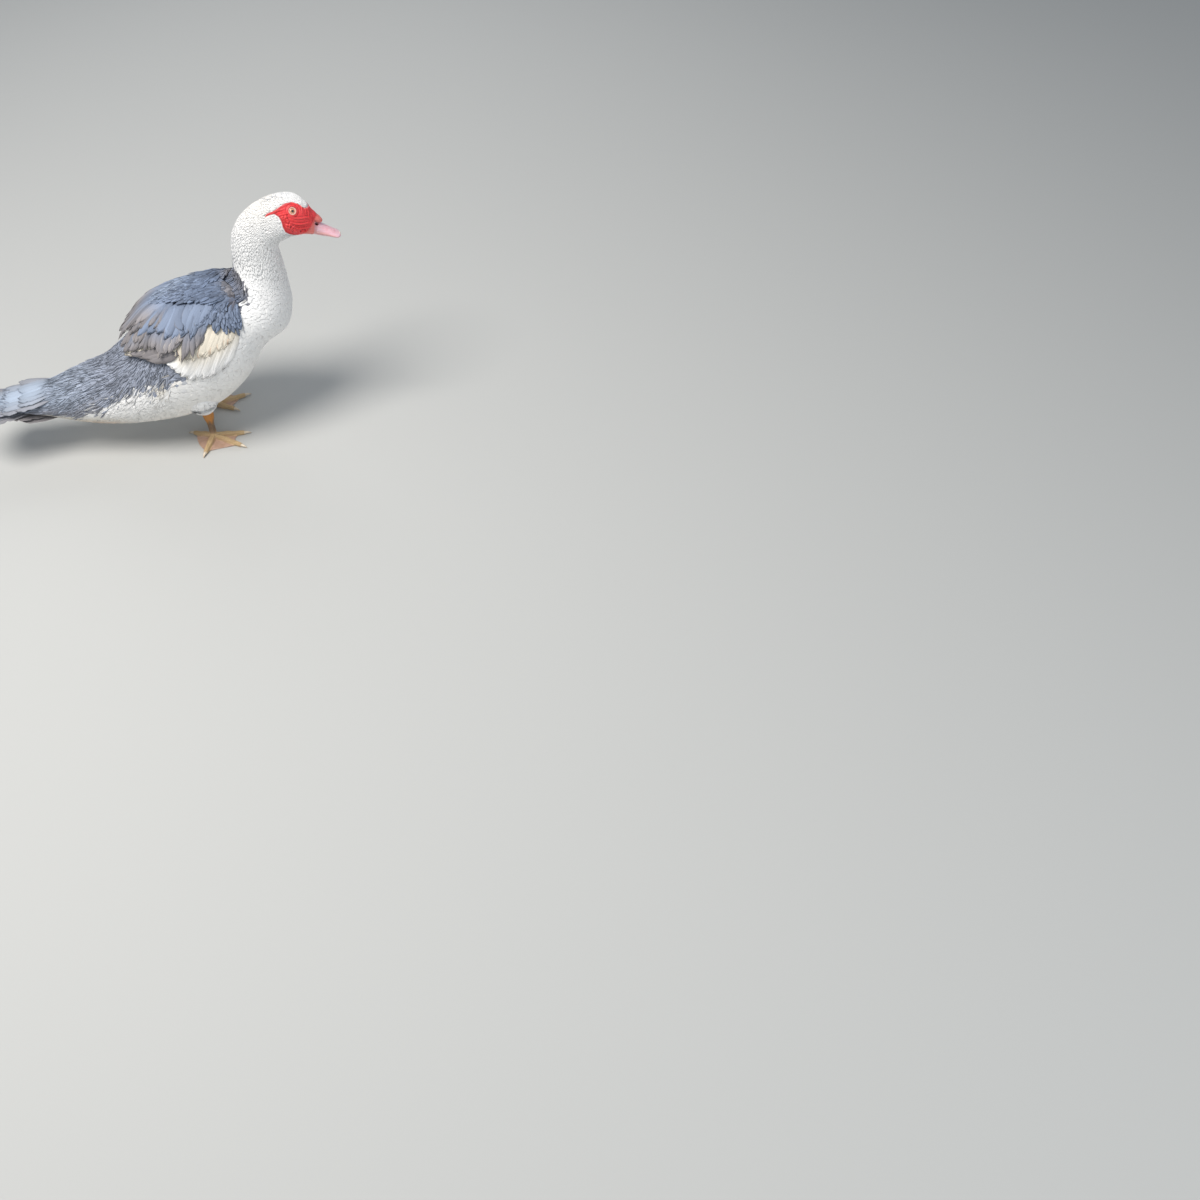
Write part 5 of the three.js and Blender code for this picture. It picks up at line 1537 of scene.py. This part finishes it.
def shankSurface(leg):
    top, bottom = np.array(leg["hock"], float), np.array([*leg["ball"], shank["joint"] - 3.5])
    steps = np.array([0, 0.12, 0.28, 0.5, 0.78, 1])
    radii = [shank["top"], shank["top"] + shank["hock"], shank["top"], shank["middle"], shank["middle"],
             shank["bottom"]]
    return tubeSurface(top + (bottom - top) * steps[:, None], radii)


def ringsOf(surface, rings=44, around=28):
    return surface(*turnGrid(0, 1, rings, around))


def webObject(leg, a, b):
    # a sheet between two toes, with a scalloped edge, sagging a little in its middle
    start = np.array([*leg["ball"], 0.0])
    t, out = np.meshgrid(np.linspace(0, 1, 40), np.linspace(0, 1, 30), indexing="ij")
    scallop = 1 - webbing["scallop"] * np.sin(np.pi * t) ** 0.8
    reach = blend(a[1], b[1], t) * webbing["reach"] * scallop * out
    turn = np.radians(blend(a[0], b[0], t))
    folds = 0.25 * np.sin(t * 34) * out * np.sin(np.pi * t)
    lift = webbing["thick"] + folds + 0.9 * (1 - np.sin(np.pi * t))
    top = np.stack([start[0] + reach * np.cos(turn), start[1] + reach * np.sin(turn), lift], -1)
    under = top * (1, 1, 0) + (0, 0, 0.05)
    points = np.vstack([top.reshape(-1, 3), under.reshape(-1, 3)])
    item = meshObject("web", points, sheetQuads(*t.shape))
    faceOutward(item)
    return item


def makeLegPaint():
    paint = Paint("scaled leg skin")
    scales = paint.cells(620, feature="DISTANCE_TO_EDGE")
    broad = paint.noise(60, 3)
    fine = paint.noise(900, 3)
    skin = paint.mix(paint.ramp(broad, 0.35, 0.7), (0.50, 0.31, 0.22), (0.64, 0.44, 0.35))
    toeSkin = paint.mix(paint.ramp(fine, 0.3, 0.7), (0.56, 0.38, 0.19), (0.70, 0.51, 0.28))
    skin = paint.mix(paint.attribute("toe"), skin, toeSkin)
    shankSkin = paint.mix(paint.ramp(broad, 0.35, 0.65), (0.17, 0.11, 0.07), (0.30, 0.20, 0.12))
    skin = paint.mix(paint.attribute("shank"), skin, shankSkin)
    skin = paint.mix(paint.attribute("hock"), skin, (0.60, 0.25, 0.05))
    skin = paint.mix(paint.ramp(scales, 0.1, 0.0, 0, 0.35), skin, (0.12, 0.07, 0.05))
    skin = paint.mix(paint.ramp(fine, 0.5, 0.8, 0, 0.3), skin, (0.3, 0.17, 0.1))
    height = paint.math("ADD", paint.ramp(scales, 0.0, 0.25), paint.math("MULTIPLY", fine, 0.3))
    paint.finish(Base_Color=skin, Roughness=paint.ramp(fine, 0.3, 0.7, 0.42, 0.62),
                 Normal=paint.bump(height, 0.3, 0.7))
    return paint.material


def makeClawPaint():
    paint = Paint("claw horn")
    long = paint.place((1, 1, 4))
    streak = paint.noise(220, 4, long)
    horn = paint.mix(paint.ramp(streak, 0.3, 0.7), (0.62, 0.50, 0.36), (0.80, 0.70, 0.56))
    horn = paint.mix(paint.ramp(paint.attribute("tip"), 0.55, 1.0, 0, 0.6), horn, (0.30, 0.21, 0.14))
    paint.finish(Base_Color=horn, Roughness=paint.ramp(streak, 0.2, 0.8, 0.3, 0.45),
                 Normal=paint.bump(streak, 0.15, 0.5))
    return paint.material


plate = {"length": 3.9, "width": 4.3, "pace": 2.9, "shankLength": 50, "shankSpread": 1.1, "toeSpread": 0.75}


def plateMap(along, turn):
    return np.stack([0.05 + 0.9 * along, 0.1 + 0.1 * turn], -1)


def makeLegs():
    skinPaint, hornPaint = makeLegPaint(), makeClawPaint()
    for name, leg in legs.items():
        random = np.random.default_rng(30 + sides[name])
        specs = [*leg["toes"], leg["hind"]]
        x, y = leg["ball"]
        parts = [tubeObject("shank", ringsOf(shankSurface(leg)))]
        parts += [tubeObject("toe", ringsOf(toeSurface(leg, spec))) for spec in specs]
        parts += [webObject(leg, leg["toes"][k], leg["toes"][k + 1]) for k in range(2)]
        if leg["flap"]:
            parts.append(webObject(leg, leg["toes"][2], (leg["hind"][0] - 360, leg["hind"][1])))
        parts.append(ballObject("ankle", (x, y, 5), (7.4, 7.4, 6.9)))
        foot = remeshed(joinObjects(parts, "foot"), 0.75, 2)
        # plates down the front of the shank and along the tops of the toes
        tubes = [(shankSurface(leg), plate["shankLength"], 0.05, plate["shankSpread"])]
        tubes += [(toeSurface(leg, spec), spec[1], 0.1, plate["toeSpread"]) for spec in specs]
        batches = []
        for surface, length, first, spread in tubes:
            rows = max(int(length / plate["pace"]), 4)
            t, angle = np.meshgrid(np.linspace(first, 0.96, rows),
                                   np.linspace(-spread, spread, 3) - np.pi / 2, indexing="ij")
            t = t + 0.5 / rows * (np.arange(3) % 2)
            t, angle = np.clip(t, 0, 0.98).ravel(), angle.ravel()
            n = len(t)
            rise = (np.full(n, -0.35), np.full(n, 0.12))
            size = (np.full(n, plate["length"]), np.full(n, plate["width"]))
            batches.append(layLeaves(surface, plateMap, (t, angle), np.full(n, np.pi), size,
                                     rise, np.ones((n, 3)), "scale", random, limits=(0, 1)))
        made = gathered(batches)
        plates = meshObject("plates", made["points"], made["quads"])
        item = joinObjects([foot, plates], "leg_" + name + "_skin")
        points = pointsOf(item)
        height = points[:, 2]
        toeNear = np.full(len(points), 99.0)
        for spec in specs:
            ahead = heading(spec[0])
            away = points[:, :2] - (x, y)
            reach = np.clip(away @ ahead[:2], 0, spec[1] + 8)
            toeNear = np.minimum(toeNear, np.linalg.norm(away - reach[:, None] * ahead[:2], axis=-1))
        setAttribute(item.data, "toe", smooth(toeNear, 6.5, 4.0) * smooth(height, 20, 10))
        setAttribute(item.data, "shank", smooth(height, 9, 17))
        setAttribute(item.data, "hock", smooth(height + 3 * np.sin(points[:, 0] * 0.9), 30, 44))
        # nothing reaches below the floor
        places = np.empty(len(points) * 3, np.float32)
        item.data.vertices.foreach_get("co", places)
        places[2::3] = np.maximum(places[2::3], 0.0)
        item.data.vertices.foreach_set("co", places)
        item.data.materials.clear()
        item.data.materials.append(skinPaint)
        item.data.polygons.foreach_set("use_smooth", np.ones(len(item.data.polygons), bool))
        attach(item, "root")
        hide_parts("shank_" + name, "foot_" + name)
        for which, spec in zip(["inner", "middle", "outer", "hind"], specs):
            steps = np.linspace(0, 1, 24)
            start = np.array([x, y, 0.0]) + heading(spec[0]) * (spec[1] - claws["sunk"])
            line = start + heading(spec[0]) * (claws["length"] * steps)[:, None]
            line[:, 2] = np.interp(steps, [0, 0.4, 0.75, 1], claws["arc"])
            radii = np.interp(steps, [0, 0.4, 0.75, 0.93, 1], claws["radii"])
            line[:, 2] = np.maximum(line[:, 2], radii + 0.02)
            rings = ringsOf(tubeSurface(line, radii), 40, 20)
            claw = tubeObject(f"claw_{which}_{name}_horn", rings,
                              {"tip": np.linspace(0, 1, 40)[:, None] * np.ones(20)})
            claw.data.materials.append(hornPaint)
            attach(claw, "root")
            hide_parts(f"claw_{which}_{name}")
    print("legs")


makeLegs()
